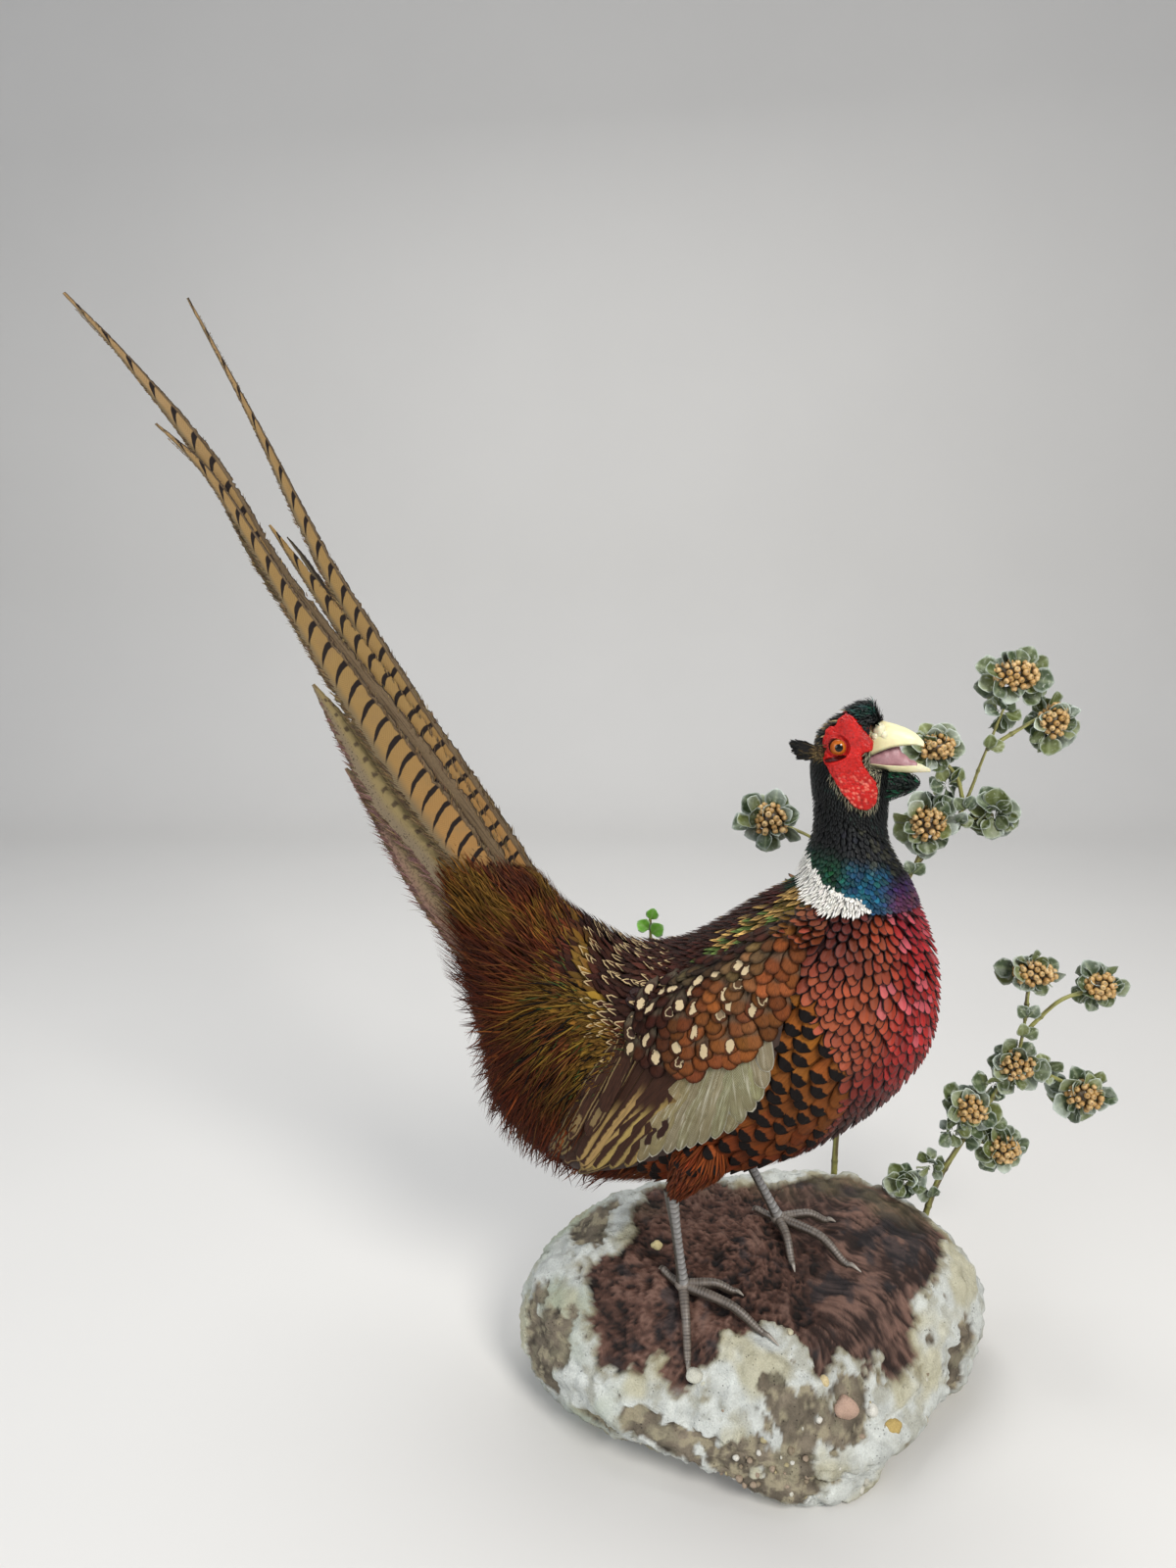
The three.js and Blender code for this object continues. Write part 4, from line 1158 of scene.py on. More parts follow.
def make_rump(look):
    """Long hair-like feathers over the rump, loose at its lower edge."""
    def keep(u, a, d):
        upper = np.interp(u, [19, 20.5, 22, 23], [70, 62, 40, -1])
        return (d > upper) & ~under_wing(u, d, -2) & ((u > 20.7) | (d < 125)) & ~in_flank(u, d)

    def loose(u, a, d):
        return keep(u, a, d) & (d > 62) & between(u, 21.8, 28.4)
    coat = Coat(body, body_unwrap)
    for spacing, length, seed, lift, where in ((1.9, 15, 29, .6, keep), (2.9, 20, 30, 2.0, keep),
                                               (3.5, 34, 36, 10.0, loose)):
        u, a, d = body_places((19, 29.4), spacing, where, seed)
        size = length * rng.uniform(.75, 1.2, len(u))
        edge = step(d, 70, 115) * step(u, 22, 23.5)
        tint = jitter(plumage(u, a), .32, .05)
        fair = (rng.random(len(u)) < .16)[:, None]
        tint = np.where(fair, tint * 1.3 + rgb("4d3a18"), tint)
        near_wing = step(u, 24.5, 22) * step(d, 114, 94)
        pick = rng.random(len(u)) / np.maximum(near_wing, .01)
        for colour, low, high in (("160e0a", 0, .2), ("9c7a2c", .2, .3), ("465a2c", .3, .37)):
            tint = spotted(tint, (pick >= low) & (pick < high), colour)
        tint = tint * (1 - .45 * edge * rng.random(len(u)))[:, None]
        clump = .3 * noise(np.stack([u * 2.3, a * 9], -1), seed)[:, None] * [0.0, 1, .6]
        stray = rump_flow(u, a) + rng.normal(0, .1, (len(u), 3)) + clump
        coat.grow(u, a, stray, size * (1 + .3 * edge), rng.uniform(.4, .75, len(u)), "hair", 3,
                  tint, 4.0, lift=lift + edge * 2.5, bent=.1)
    coat.make("rump_feathers", look, "rump_feathers")


def limb_coat(surface, spacing, reach, seed, shift=.5):
    """Places on a tube of the skin, and a coat for them unwrapped at a shift sideways."""
    t, a = scatter(surface, reach, FULL_TURN, spacing, lambda t, a: t > 0, seed)
    return t, a, Coat(surface, lambda t, a: np.stack([a / 20 + shift, t / 20 + .2], -1))


def make_limb_feathers(look, head_look, flank_look):
    """The thighs, with blotched feathers over their tops, and the throat."""
    for name, side in SIDES.items():
        surface = thigh_surface(name)
        t, a, coat = limb_coat(surface, 2.5, (.3, 3.95), 31 + side)
        tint = jitter(blend("813c18", "6f3519", step(t, .6, 1.6)), .25, .08)
        tint = tint * (1 - .55 * step(t, 2.4, 4))[:, None]
        coat.grow(t, a, along(surface, t, a), np.interp(t, [.5, 1.5, 4], [22, 16, 6]), 1.3,
                  "lance", 3, tint, 1.6, lift=.9, bent=.1)
        coat.make(f"thigh_feathers_{name}", look, "thigh_feathers")
        t, a, coat = limb_coat(surface, 8.2, (.5, 1.3), 45 + side, .7)
        tint = jitter(plain("81401b", len(t)), .14, .06)
        way = np.array([-.9, 0, -.42]) + rng.normal(0, .08, (len(t), 3))
        coat.grow(t, a, way, 19, 5.2, "round", 7, tint, 3.0, lift=.6, ragged=.1, bent=.08)
        coat.make(f"thigh_blotched_{name}", flank_look, "thigh_feathers")
    t, a, coat = limb_coat(throat_surface, 1.1, (.3, 3.9), 35)
    tint = jitter(plain("071510", len(t)), .6, .2)
    # A third of the throat's feathers painted brighter green, as glints of its sheen.
    tint = spotted(tint, rng.random(len(t)) < .3, "0f5a3c", .4)
    way = along(throat_surface, t, a) + np.array([0, 0, -.5])
    coat.grow(t, a, way + rng.normal(0, .35, (len(t), 3)), rng.uniform(4, 8.5, len(t)), .6,
              "small", 3, tint, 1.0, lift=rng.uniform(.3, 3.4, len(t)), bent=.2)
    coat.make("throat_feathers", head_look, "head_feathers")


dark_gloss = feather_look("dark_gloss_feathers", plain_paint, .42, .4, Specular_IOR_Level=.28)
make_head_feathers(dark_gloss)
make_neck_feathers(dark_gloss)
make_collar(feather_look("collar_feathers", plain_paint, .7, .35))
make_breast(feather_look("breast_feathers", scale_paint, .42, .45, Specular_IOR_Level=.2))
blotched_look = feather_look("flank_feathers", flank_paint, .55, .5)
make_flanks(blotched_look)
hair_look = feather_look("hair_feathers", plain_paint, .6, .3)
make_belly(hair_look)
make_mantle(feather_look("mantle_feathers", lance_paint, .5, .45))
make_back(feather_look("back_feathers", chevron_paint, .55, .4))
make_rump(hair_look)
make_limb_feathers(hair_look, dark_gloss, blotched_look)


# ---------------------------------------------------------------- wings

# Where the wing's coverts end, as places along and across the wing.
COVERT_EDGE = np.array([[0, 1], [1, 1], [2, .99], [2.9, .9], [3.54, .82], [3.86, .68], [4.2, .62],
                        [4.6, .48], [5, .3], [5.2, .1], [5.4, -.2]]).T

# Places of the cream marks on the coverts.
MARKS = np.array([
    [1.78, .52], [1.8, .31], [2.12, .2], [2.1, .46], [2.48, .19], [3.0, .23], [3.5, .24],
    [2.5, .46], [2.1, .72], [2.7, .59], [2.42, .7], [3.1, .52], [3.42, .35], [3.74, .44],
    [3.3, .68], [3.9, .56], [4.34, .44], [4.24, .33], [4.7, .16], [4.78, .25], [5.14, .02],
    [4.98, -.13], [4.3, -.11], [3.92, .05], [3.74, .15], [3.8, -.09], [3.28, .01], [2.9, .08],
])

# Flight feathers from under the coverts to their tips, by pattern: root and tip places, half
# width, and how high the tip lies.
FLIGHTS = {
    "grey": [
        (2.5, .78, 3.65, .94, 5.5, .2), (2.65, .75, 3.9, .97, 5.5, .3),
        (2.8, .72, 4.1, .99, 5.5, .4), (2.9, .70, 4.3, 1.01, 5.5, .5),
        (3.0, .70, 4.5, 1.01, 5.5, .6), (3.1, .69, 4.7, 1.0, 5.5, .7),
        (3.2, .68, 4.88, .98, 5.5, .8), (3.3, .66, 5.05, .96, 5.5, 1.0),
        (3.4, .64, 5.2, .94, 5.5, 1.2), (3.5, .62, 5.34, .92, 5.5, 1.3),
        (3.6, .60, 5.5, .90, 5.5, 1.4)],
    "blob": [(3.8, .57, 5.75, .86, 5.5, 1.6), (3.9, .53, 5.98, .90, 5.5, 1.8)],
    "stripe": [
        (4.0, .50, 6.3, .93, 5.5, 2.0), (4.15, .46, 6.6, .94, 5.5, 2.1),
        (4.3, .42, 6.85, .88, 5.5, 2.2), (4.4, .36, 7.05, .76, 5.5, 2.3),
        (4.5, .29, 7.0, .52, 5.5, 2.5), (4.6, .20, 7.0, .34, 5, 2.6)],
    "edge": [
        (4.7, .10, 6.6, .14, 5, 2.8), (4.6, .00, 6.2, -.02, 5, 3.0),
        (5.6, .34, 7.95, .50, 5.5, 1.2), (5.5, .22, 7.9, .32, 5, 1.5),
        (5.4, .12, 7.75, .16, 5, 1.8), (5.3, .02, 7.5, .02, 5, 2.1),
        (5.2, -.06, 7.1, -.08, 4.5, 2.4), (5.7, .48, 7.85, .72, 5, .9),
        (5.9, .60, 7.6, .86, 5, .6)],
}
FLIGHT_COLOURS = {"grey": "8b8568", "blob": "8c7f5a", "stripe": "917a49", "edge": "86714a"}


def covert_paint(look, x, y, rim, tip, tint, chance):
    """Brown with a rusty rim, and on some a cream drop or hoop with dark round it."""
    wobble = look.noise(330, 3) * 4.4 - 2.2
    across = (x + (chance - .6) * 3.4 + wobble) / (chance * 1.3 + 1.4)
    along = (tip + wobble - 4.9) / (chance * -1.4 + 4.3)
    from_drop = across * across + along * along
    marked = chance.ramp(.2, .25)
    hollow = chance.ramp(.84, .87) * from_drop.ramp(.85, .4)
    drop = from_drop.ramp(1.15, .85) * marked * (hollow * -1 + 1)
    ring = from_drop.ramp(3.2, 1.2) * marked * .7
    rust = look.mix(rim.ramp(2.6, .3) * .85, tint, shade(look, tint, .3))
    grey = look.mix(tip.ramp(6, 10) * .6, rust, (.09, .075, .05))
    strand = look.strand(1.0, 4, x.abs() * 1.5 + y * -.7, y * .12, chance)
    streak = shade(look, grey, look.noise(420, 3) * .5 + strand * 1.3 + .05)
    return look.mix(drop, look.mix(ring, streak, (.022, .010, .007)), (.47, .37, .22))


def grey_paint(look, x, y, rim, tip, tint, chance):
    """Pale grey and cream with fine darker streaks and a light edge."""
    barb = ((y - x.abs() * 1.4) * 4.2).sin() * .5 + .5
    fleck = look.noise(240, 4) * barb
    colour = look.mix(fleck.ramp(.15, .55) * .8, tint, shade(look, tint, .5))
    strand = look.strand(1.0, 4, x * .9, y * .05, chance)
    for share, other in ((strand.ramp(.5, .68) * .6, (.13, .105, .055)),
                         (strand.ramp(.46, .3) * .55, (.5, .48, .38)),
                         (look.noise(60, 3).ramp(.45, .7) * .45, (.15, .12, .06)),
                         ((rim - 1.6).abs().ramp(.9, .25) * .35, (.13, .11, .06)),
                         (rim.ramp(.9, .3) * .6, (.5, .48, .40))):
        colour = look.mix(share, colour, other)
    return colour


def blob_paint(look, x, y, rim, tip, tint, chance):
    """Grey cream with one dark brown patch along the middle."""
    wobble = look.noise(300, 2) * 2 - 1
    across = (x + wobble) / 2.4
    along = (tip - 24 + wobble * 3) / 8
    patch = (across * across + along * along).ramp(1.3, .85)
    return look.mix(patch, grey_paint(look, x, y, rim, tip, tint, chance), (.028, .012, .009))


def stripe_paint(look, x, y, rim, tip, tint, chance):
    """Cream along one side and near the tip, and dark brown along the other."""
    wobble = look.noise(260, 3) * 2.4 - 1.2
    cream = (x * -1.0 + wobble - 1.1).ramp(-.5, .7) * (tip - chance * 40).ramp(60, 42)
    end = (tip + wobble).ramp(3.4, 2.2)
    fleck = (look.noise(600, 3) - .5) * 1.4
    dark = shade(look, tint, .22)
    strand = look.strand(1.0, 4, x * 1.3, y * .07, chance)
    tint = look.mix(strand.ramp(.5, .66) * .6, tint, (.13, .085, .035))
    brown = shade(look, (.034, .014, .008), strand * 1.6 + .3)
    colour = look.mix(cream.high(end), brown, tint)
    return look.mix((rim + fleck).ramp(.6, .1) * .5, colour, dark)


def edge_paint(look, x, y, rim, tip, tint, chance):
    """Dark brown with a thin cream line inside its edge."""
    wobble = look.noise(420, 3) * 1.4 - .7
    line = (rim + wobble * .6 - 1.5).abs().ramp(.55, .2)
    patch = ((x.abs() + wobble - 1.2).ramp(.6, 0) * (tip - 15 + wobble * 4).abs().ramp(8, 5)
             * chance.ramp(.5, .6))
    strand = look.strand(1.0, 4, x * 1.3, y * .07, chance)
    dark = shade(look, (.034, .014, .008), strand * 2.2 + look.noise(300, 3) * .5 - .25)
    return look.mix((line * .75).high(patch * .8), dark, tint)


def make_wing(side, name, looks, under_look):
    """The closed form under a wing's feathers, its flight feathers and its coverts."""
    surface = wing(side)

    def unwrap(t, j):
        return np.stack([np.clip(j, -.2, 1.3) * .6 + .15, t / 10], -1)
    t, j = grid(np.linspace(0, 7.8, 60), np.linspace(.02, .98, 18))
    outer = wing(side, 3.6)(t, j)
    u, degrees = wing_place(t, j)
    inner = body(u, side * np.radians(degrees), -7)[:, ::-1]
    rings = np.concatenate([outer, inner], 1)
    points, groups = ring_solid(rings)
    make_mesh(f"wing_form_{name}", points, groups, under_look, "wing_feathers",
              uvs={"OFBake": ring_uvs(*rings.shape[:2])}, tints=plain("3a2216", len(points)),
              replaces=[f"wing_{name}"])
    for kind, flights in FLIGHTS.items():
        t0, j0, t1, j1, half, lift = np.array(flights).T
        way = surface(t1, j1) - surface(t0, j0)
        coat = Coat(surface, unwrap)
        tint = jitter(plain(FLIGHT_COLOURS[kind], len(flights)), .08, .03)
        coat.grow(t1, j1, way, np.linalg.norm(way, axis=1) * 1.04, half, "blade", 11, tint, 3.0,
                  lift=lift, camber=.09, ragged=.02, shown=1.0, spread=side * .35,
                  bend=side * .03)
        coat.make(f"flight_feathers_{kind}_{name}", looks[kind], "wing_feathers")
    t, j = scatter(surface, (.1, 5.3), (-.12, 1.03), 5.5,
                   lambda t, j: j < np.interp(t, *COVERT_EDGE), 41 + side)
    heading = surface(t + .1, j + .012) - surface(t, j)
    size = np.interp(t, [0, 2, 4, 5.3], [12.5, 17.5, 20.5, 21])
    size = size * np.interp(j, [-.1, .3, .8], [.8, .9, 1.0])
    dark = step(j, .42, .1) + step(t, 4.0, 4.9) * .6
    olive = step(noise(np.stack([t * 1.1, j * 3], -1), 6), .0, .5) * step(j, .9, .5)
    tint = blend(blend("74401e", "34180e", np.clip(dark, 0, 1)), "5c5236", olive * .6)
    places, marked = surface(t, j), np.zeros(len(t))
    for k, spot in enumerate(surface(*MARKS.T)):
        nearest = np.argmin(np.linalg.norm(places - spot, axis=1) + 99 * (marked > 0))
        marked[nearest] = .3 + .7 * ((k * .618) % 1)
    coat = Coat(surface, unwrap)
    coat.grow(t, j, heading, size, size * np.interp(j, [0, .5], [.24, .31]), "round", 9,
              jitter(tint, .24, .07), 3.2, lift=1.1, camber=.16, ragged=.06, bent=.07,
              chance=marked)
    coat.make(f"covert_feathers_{name}", looks["covert"], "wing_feathers")


wing_looks = {kind: feather_look(f"{kind}_feathers", paint, roughness, barb_bump)
              for kind, paint, roughness, barb_bump in (
                  ("covert", covert_paint, .55, .45), ("grey", grey_paint, .6, .6),
                  ("blob", blob_paint, .6, .5), ("stripe", stripe_paint, .55, .5),
                  ("edge", edge_paint, .5, .5))}
under_look = Look("wing_form", Roughness=.8)
under_look.finish(shade(under_look, (.04, .02, .013), under_look.noise(400, 3) + .5),
                  bump=under_look.noise(900, 3), height=.0005)
for wing_name, wing_side in SIDES.items():
    make_wing(wing_side, wing_name, wing_looks, under_look.material)


# ---------------------------------------------------------------- tail

# The tail is a roof of two slopes. Its left slope is the right one's mirror image, shifted.
TAIL_ROOT = np.array([-155, -20, 318.0])
TAIL_RISE, TAIL_ROOF = math.radians(54.4), math.radians(30)
FEATHER_LAYER = 3.2
LEFT_SLOPE_SHIFT = 12
TAIL_ALONG = np.array([-math.cos(TAIL_RISE), 0, math.sin(TAIL_RISE)])
TAIL_ACROSS = np.array([math.sin(TAIL_RISE) * math.cos(TAIL_ROOF), math.sin(TAIL_ROOF),
                        math.cos(TAIL_RISE) * math.cos(TAIL_ROOF)])
TAIL_FACE = np.cross(TAIL_ACROSS, TAIL_ALONG)

# Each tail feather: side, layer, pattern, and knots [along, across, width].
TAIL_FEATHERS = {
    "tail_centre_long": (-1, 1, "barred", [
        [-30, 24, 14], [56, 25, 22], [141, 21.5, 22], [250, 15, 17], [335, 21, 12],
        [415, 14.7, 5.5], [469, 6, 2]]),
    "tail_centre_second": (-1, -1, "barred", [
        [-30, 36, 14], [50, 37, 22], [135, 38, 19], [197, 42, 14], [250, 45.5, 11],
        [344, 58.4, 5], [434, 68, 1.6]]),
    "tail_inner_right": (-1, 2, "barred", [
        [-30, 20, 14], [38, 16, 24], [79, 14, 27], [160, 13, 22], [219, 13, 15],
        [257, 14.5, 10], [328, 16, 6], [371, 7, 1.6]]),
    "tail_ridge_right": (-1, 0, "barred", [
        [-30, 30, 12], [100, 33, 16], [203, 32, 11], [246, 31, 7], [285, 29.8, 1.6]]),
    "tail_outer_right": (-1, 0, "squiggle", [
        [-30, 4, 14], [28, 0, 24], [68, -3, 22], [102, -6.5, 21], [150, -4, 14], [187, -3.5, 2]]),
    "tail_edge_right": (-1, -1, "mottled", [
        [-30, -10, 14], [8, -14, 22], [43, -15, 22], [70, -14, 20], [100, -13, 14],
        [133, -16, 2]]),
    "tail_inner_left": (1, 2, "barred", [
        [-30, 20, 14], [79, 14, 26], [160, 13, 20], [215, 14, 13], [262, 16, 6], [284, 14, 1.6]]),
    "tail_ridge_left": (1, 1, "barred", [
        [-30, 26, 12], [80, 27, 18], [140, 25, 13], [180, 24, 8], [206, 22, 1.6]]),
    "tail_outer_left": (1, 0, "squiggle", [
        [-30, 4, 14], [28, 0, 24], [68, -3, 22], [102, -6.5, 21], [142, -4, 14], [176, -5, 2]]),
    "tail_edge_left": (1, -1, "mottled", [
        [-30, -10, 14], [8, -14, 22], [43, -15, 22], [66, -14, 20], [94, -13, 14],
        [124, -16, 2]]),
}

# Where across a barred feather its plain strip starts, low down and further up.
STRIP_STARTS = {"tail_centre_long": (.26, .6), "tail_inner_right": (.8, .62),
                "tail_ridge_right": (1.3, 1.3)}
# How far along a feather its bars are shifted, where it isn't the usual distance.
BAR_STARTS = {"tail_centre_second": 45}
USUAL_BAR_START = 40


def tail_plane(side, layer):
    """The sheet that a tail feather lies in, by distances along and across."""
    def surface(x, y):
        x, y = np.asarray(x, float)[..., None], np.asarray(y, float)[..., None]
        p = TAIL_ROOT + x * TAIL_ALONG + y * TAIL_ACROSS + layer * FEATHER_LAYER * TAIL_FACE
        if side > 0:
            p = p * [1, -1, 1] + [0, LEFT_SLOPE_SHIFT, 0]
        return p
    surface.facing = -side
    return surface


def barred_paint(look, x, y, rim, tip, tint, chance):
    """Golden with slanting black bars, and a plain strip without bars from the chance's place
    across, its dark brown partly painted shade, with a painted shadow line at its edge.
    """
    q = x / (x.abs() + rim + .01)
    past = q - chance
    wobble = look.noise(160, 3) * 2.2 - 1.1
    slant = y + (past * -1.0).high(0) * 8.5 + (q + .1) * (q + .1) * 5.0 + wobble
    phase = (slant / (slant * .010 + 9.5)).math("FRACT")
    thick = q.ramp(-.75, .1) * .085 + .035
    bar = ((phase - .5).abs() - thick).ramp(.03, -.015)
    bar = bar * q.ramp(-.75, -.4) * past.ramp(.04, -.02)
    fleck = look.noise(900, 3)
    barb = ((y - x.abs() * 1.3) * 3.4 + fleck * 3).sin() * .5 + .5
    olive = look.mix(barb * .6, (.17, .13, .072), (.07, .05, .032))
    gold = look.mix(look.noise(120, 3).ramp(.45, .75) * .6, tint, (.235, .145, .058))
    vane = look.mix((q + wobble * .06).ramp(-.25, -.8), shade(look, gold, barb * .14 + .88), olive)
    # The plain strip beyond the vane's fold: dark brown without bars, its darkness partly painted
    # shade.
    strip = look.mix(rim.ramp(.9, .3), (.13, .09, .05), (.04, .028, .02))
    thread = look.noise(1.0, 4, look.vector(x * 1.2, y * .035, 7.0))
    strip = look.mix(thread.ramp(.52, .64) * .75, strip, (.045, .028, .016))
    strip = shade(look, strip, fleck * .6 + .7)
    vane = look.mix(bar, vane, (.012, .008, .007))
    # A dark line where the strip starts: a painted shadow in the fold.
    return look.mix(past.abs().ramp(.06, .02) * .7, look.mix(past.ramp(-.03, .03), vane, strip),
                    (.07, .045, .025))


def squiggle_paint(look, x, y, rim, tip, tint, chance):
    """Cream with dark squiggles along the shaft and a mottled grey lower vane."""
    q = x / (x.abs() + rim + .01)
    wobble = look.noise(260, 4) * 6 - 3
    mark = ((y / 11 + wobble * .06).math("FRACT") - .5).abs().ramp(.2, .06)
    mark = mark * (q - .25 + wobble * .03).abs().ramp(.28, .12)
    speck = look.noise(900, 4).ramp(.56, .66) * q.ramp(.1, -.3)
    colour = look.mix(q.ramp(.1, -.5) * .75, tint, (.16, .125, .09))
    colour = look.mix(speck * .8, colour, (.05, .035, .025))
    shaft = (q - .6).abs().ramp(.07, .02)
    return look.mix(mark * .85, look.mix(shaft * .7, colour, (.1, .07, .04)), (.05, .033, .022))


def mottled_paint(look, x, y, rim, tip, tint, chance):
    """Grey-brown with fine dark mottling, pinkish towards the edge."""
    q = x / (x.abs() + rim + .01)
    speck = look.noise(700, 4).ramp(.45, .62)
    colour = look.mix(q.ramp(-.1, -.8) * .7, tint, (.2, .11, .095))
    return look.mix(speck * .55, colour, (.055, .038, .026))


TAIL_TINTS = {"barred": "8a6f43", "squiggle": "84744f", "mottled": "7a694f"}


def make_tail_feather(name, side, layer, pattern, knots, looks, hair_look):
    """A long feather as one closed vane, with loose barbs along its edges."""
    knots = np.array(knots, float)
    length = knots[-1, 0] - knots[0, 0]
    rows, columns = int(length / 1.9), 15
    along, across, width = smooth(knots, np.linspace(0, len(knots) - 1, rows)).T
    surface = tail_plane(side, layer)
    q = np.linspace(-1, 1, columns)
    half = width / 2
    random = np.random.default_rng(len(name) * 7 + side)
    ragged = np.ones((rows, 2))
    for edge in (0, 1):
        wave = noise(np.stack([along * .25, np.full(rows, layer + edge * 9.0)], -1), 3)
        tear = noise(np.stack([along * .55, np.full(rows, layer * 3.0)], -1), 9 + edge)
        ragged[:, edge] += (.02 * wave - .22 * np.clip(tear, 0, 1)**3
                            + .03 * random.normal(size=rows))
    stretch = np.where(q < 0, 1 + (ragged[:, :1] - 1) * np.abs(q), 1 + (ragged[:, 1:] - 1) * q)
    x = q * half[:, None] * stretch
    y = np.broadcast_to(along[:, None], x.shape)
    strip = np.interp(along, [190, 270], STRIP_STARTS.get(name, (.62, .62)))[:, None]
    share = (half / half.max())[:, None]
    camber = 1.6 * share * (1 - q**2) + .25 * np.exp(-(((q - strip) / .05)**2))
    ripple = .22 * noise(np.stack([y * .22 - np.abs(x) * .3, q + 0 * y], -1), 4)
    sag = -.45 * np.exp(-(((q - strip) / .2)**2)) * share
    points = surface(y, across[:, None] + x) + TAIL_FACE * [1, side * -1, 1] * (
        camber + ripple + sag - .9)[..., None]
    groups = vane_faces(rows, columns)
    if side > 0:
        groups = [(faces[:, ::-1], is_smooth) for faces, is_smooth in groups]
    vane = np.stack([x, y + BAR_STARTS.get(name, USUAL_BAR_START)], -1)
    to_tip = along[-1] - y
    rim = np.stack([np.minimum(half[:, None] * stretch - np.abs(x), to_tip * .5 + .2), to_tip], -1)
    rim[..., 0] = np.clip(rim[..., 0], 0, None)
    base = rgb(TAIL_TINTS[pattern])
    warm = step(along, 170, 20)[:, None] * (pattern == "barred")
    grey = step(along, 230, 430)[:, None, None]
    tint = blend(base, "a06f3d", warm * .5) + (rgb("9a8060") - base) * grey * .5
    tint = np.concatenate([np.broadcast_to(tint, (*x.shape, 3)),
                           np.broadcast_to(strip, x.shape)[..., None]], -1).reshape(-1, 4)
    s = np.broadcast_to(np.linspace(.02, .98, rows)[:, None], x.shape)
    bake = np.stack([np.broadcast_to(q * .48 + .5, x.shape), s], -1)
    make_mesh(name + "_vane", points, groups, looks[pattern], "tail_feathers", tints=tint,
              replaces=[name], uvs={"Vane": vane.reshape(-1, 2), "Rim": rim.reshape(-1, 2),
                                    "OFBake": bake.reshape(-1, 2)})
    # Loose barbs along the edges, most on the lower edge and near the root.
    coat = Coat(surface, lambda x, y: np.stack([(y + 40) / 140, (x + 40) / 520], -1))
    for edge, count, reach in ((-1, int(length * 1.5), 9.0), (1, int(length * .6), 4.0)):
        a = random.uniform(-20, knots[-1, 0] - 12, count)
        knot = np.interp(a, knots[:, 0], np.arange(len(knots)))
        _, mid, wide = smooth(knots, knot).T
        b = mid + edge * wide * random.uniform(.40, .53, count)
        down = step(a, 260, 40)
        size = reach * random.uniform(.5, 1.2, count) * (.55 + .9 * down)
        size = size * np.clip(wide / 16, .3, 1)
        turn = random.uniform(.28, .6, count)
        heading = np.cos(turn)[:, None] * TAIL_ALONG + (edge * np.sin(turn))[:, None] * TAIL_ACROSS
        if side > 0:
            heading = heading * [1, -1, 1]
        shades = two_tone(count, .5, "8a7350", "6b5742", random)
        if pattern in ("mottled", "squiggle"):
            shades = spotted(shades, random.random(count) < .55, "94706a")
        coat.grow(a, b, heading, size, random.uniform(.16, .3, count), "hair", 3,
                  jitter(shades, .25, .05), .3, lift=.25, camber=.5, shown=.5,
                  bend=random.normal(0, .12, count))
    coat.make(name + "_barbs", hair_look, "tail_feathers")


tail_looks = {kind: feather_look(f"tail_{kind}", paint, roughness, .5)
              for kind, paint, roughness in (("barred", barred_paint, .5),
                                             ("squiggle", squiggle_paint, .55),
                                             ("mottled", mottled_paint, .6))}
for tail_name, tail_feather in TAIL_FEATHERS.items():
    make_tail_feather(tail_name, *tail_feather, tail_looks, hair_look)


# ---------------------------------------------------------------- face, eyes, bill and ears

EYE = np.array([51.5, 13.9, 442.5])
EYE_RADIUS = 5.5
# The dark fold in the bare skin below the eye: where it starts and how far it goes, in x and z.
FOLD_START, FOLD_WAY = (45.6, 434.3), (10.6, 3.7)


def domes(x, y, size, seed):
    """Height of little round grains about size across, from 0 between them to 1 on top, and
    a chance for each grain."""
    cx, cy = np.floor(x / size), np.floor(y / size)
    best = np.full(np.shape(x), 9.0)
    chance = np.zeros(np.shape(x))
    for i in (-1, 0, 1):
        for j in (-1, 0, 1):
            place = np.stack([cx + i, cy + j], -1)
            jx = noise(place + .001, seed) * .42
            jy = noise(place + .001, seed + 1) * .42
            far = np.hypot(x / size - (cx + i + .5 + jx), y / size - (cy + j + .5 + jy))
            nearer = far < best
            best = np.where(nearer, far, best)
            chance = np.where(nearer, noise(place + .001, seed + 2), chance)
    return np.clip(1 - best**2 * 1.7, 0, 1), chance


def hub_solid(sheet, hub):
    """A closed solid from a sheet of points and one point behind it."""
    rows, columns, _ = sheet.shape
    quads = sheet_faces(rows, columns)
    rim = np.concatenate([np.arange(columns), np.arange(1, rows) * columns + columns - 1,
                          (rows - 1) * columns + np.arange(columns - 2, -1, -1),
                          np.arange(rows - 2, 0, -1) * columns])
    fan = np.stack([np.roll(rim, -1), rim, np.full(len(rim), rows * columns)], -1)
    points = np.concatenate([sheet.reshape(-1, 3), [hub]])
    a, b, d = (points[quads[:, k]] for k in (0, 1, 3))
    if (np.cross(b - a, d - a) * (a - hub)).sum() < 0:
        quads, fan = quads[:, ::-1], fan[:, ::-1]
    return points, [(quads, True), (fan, False)]


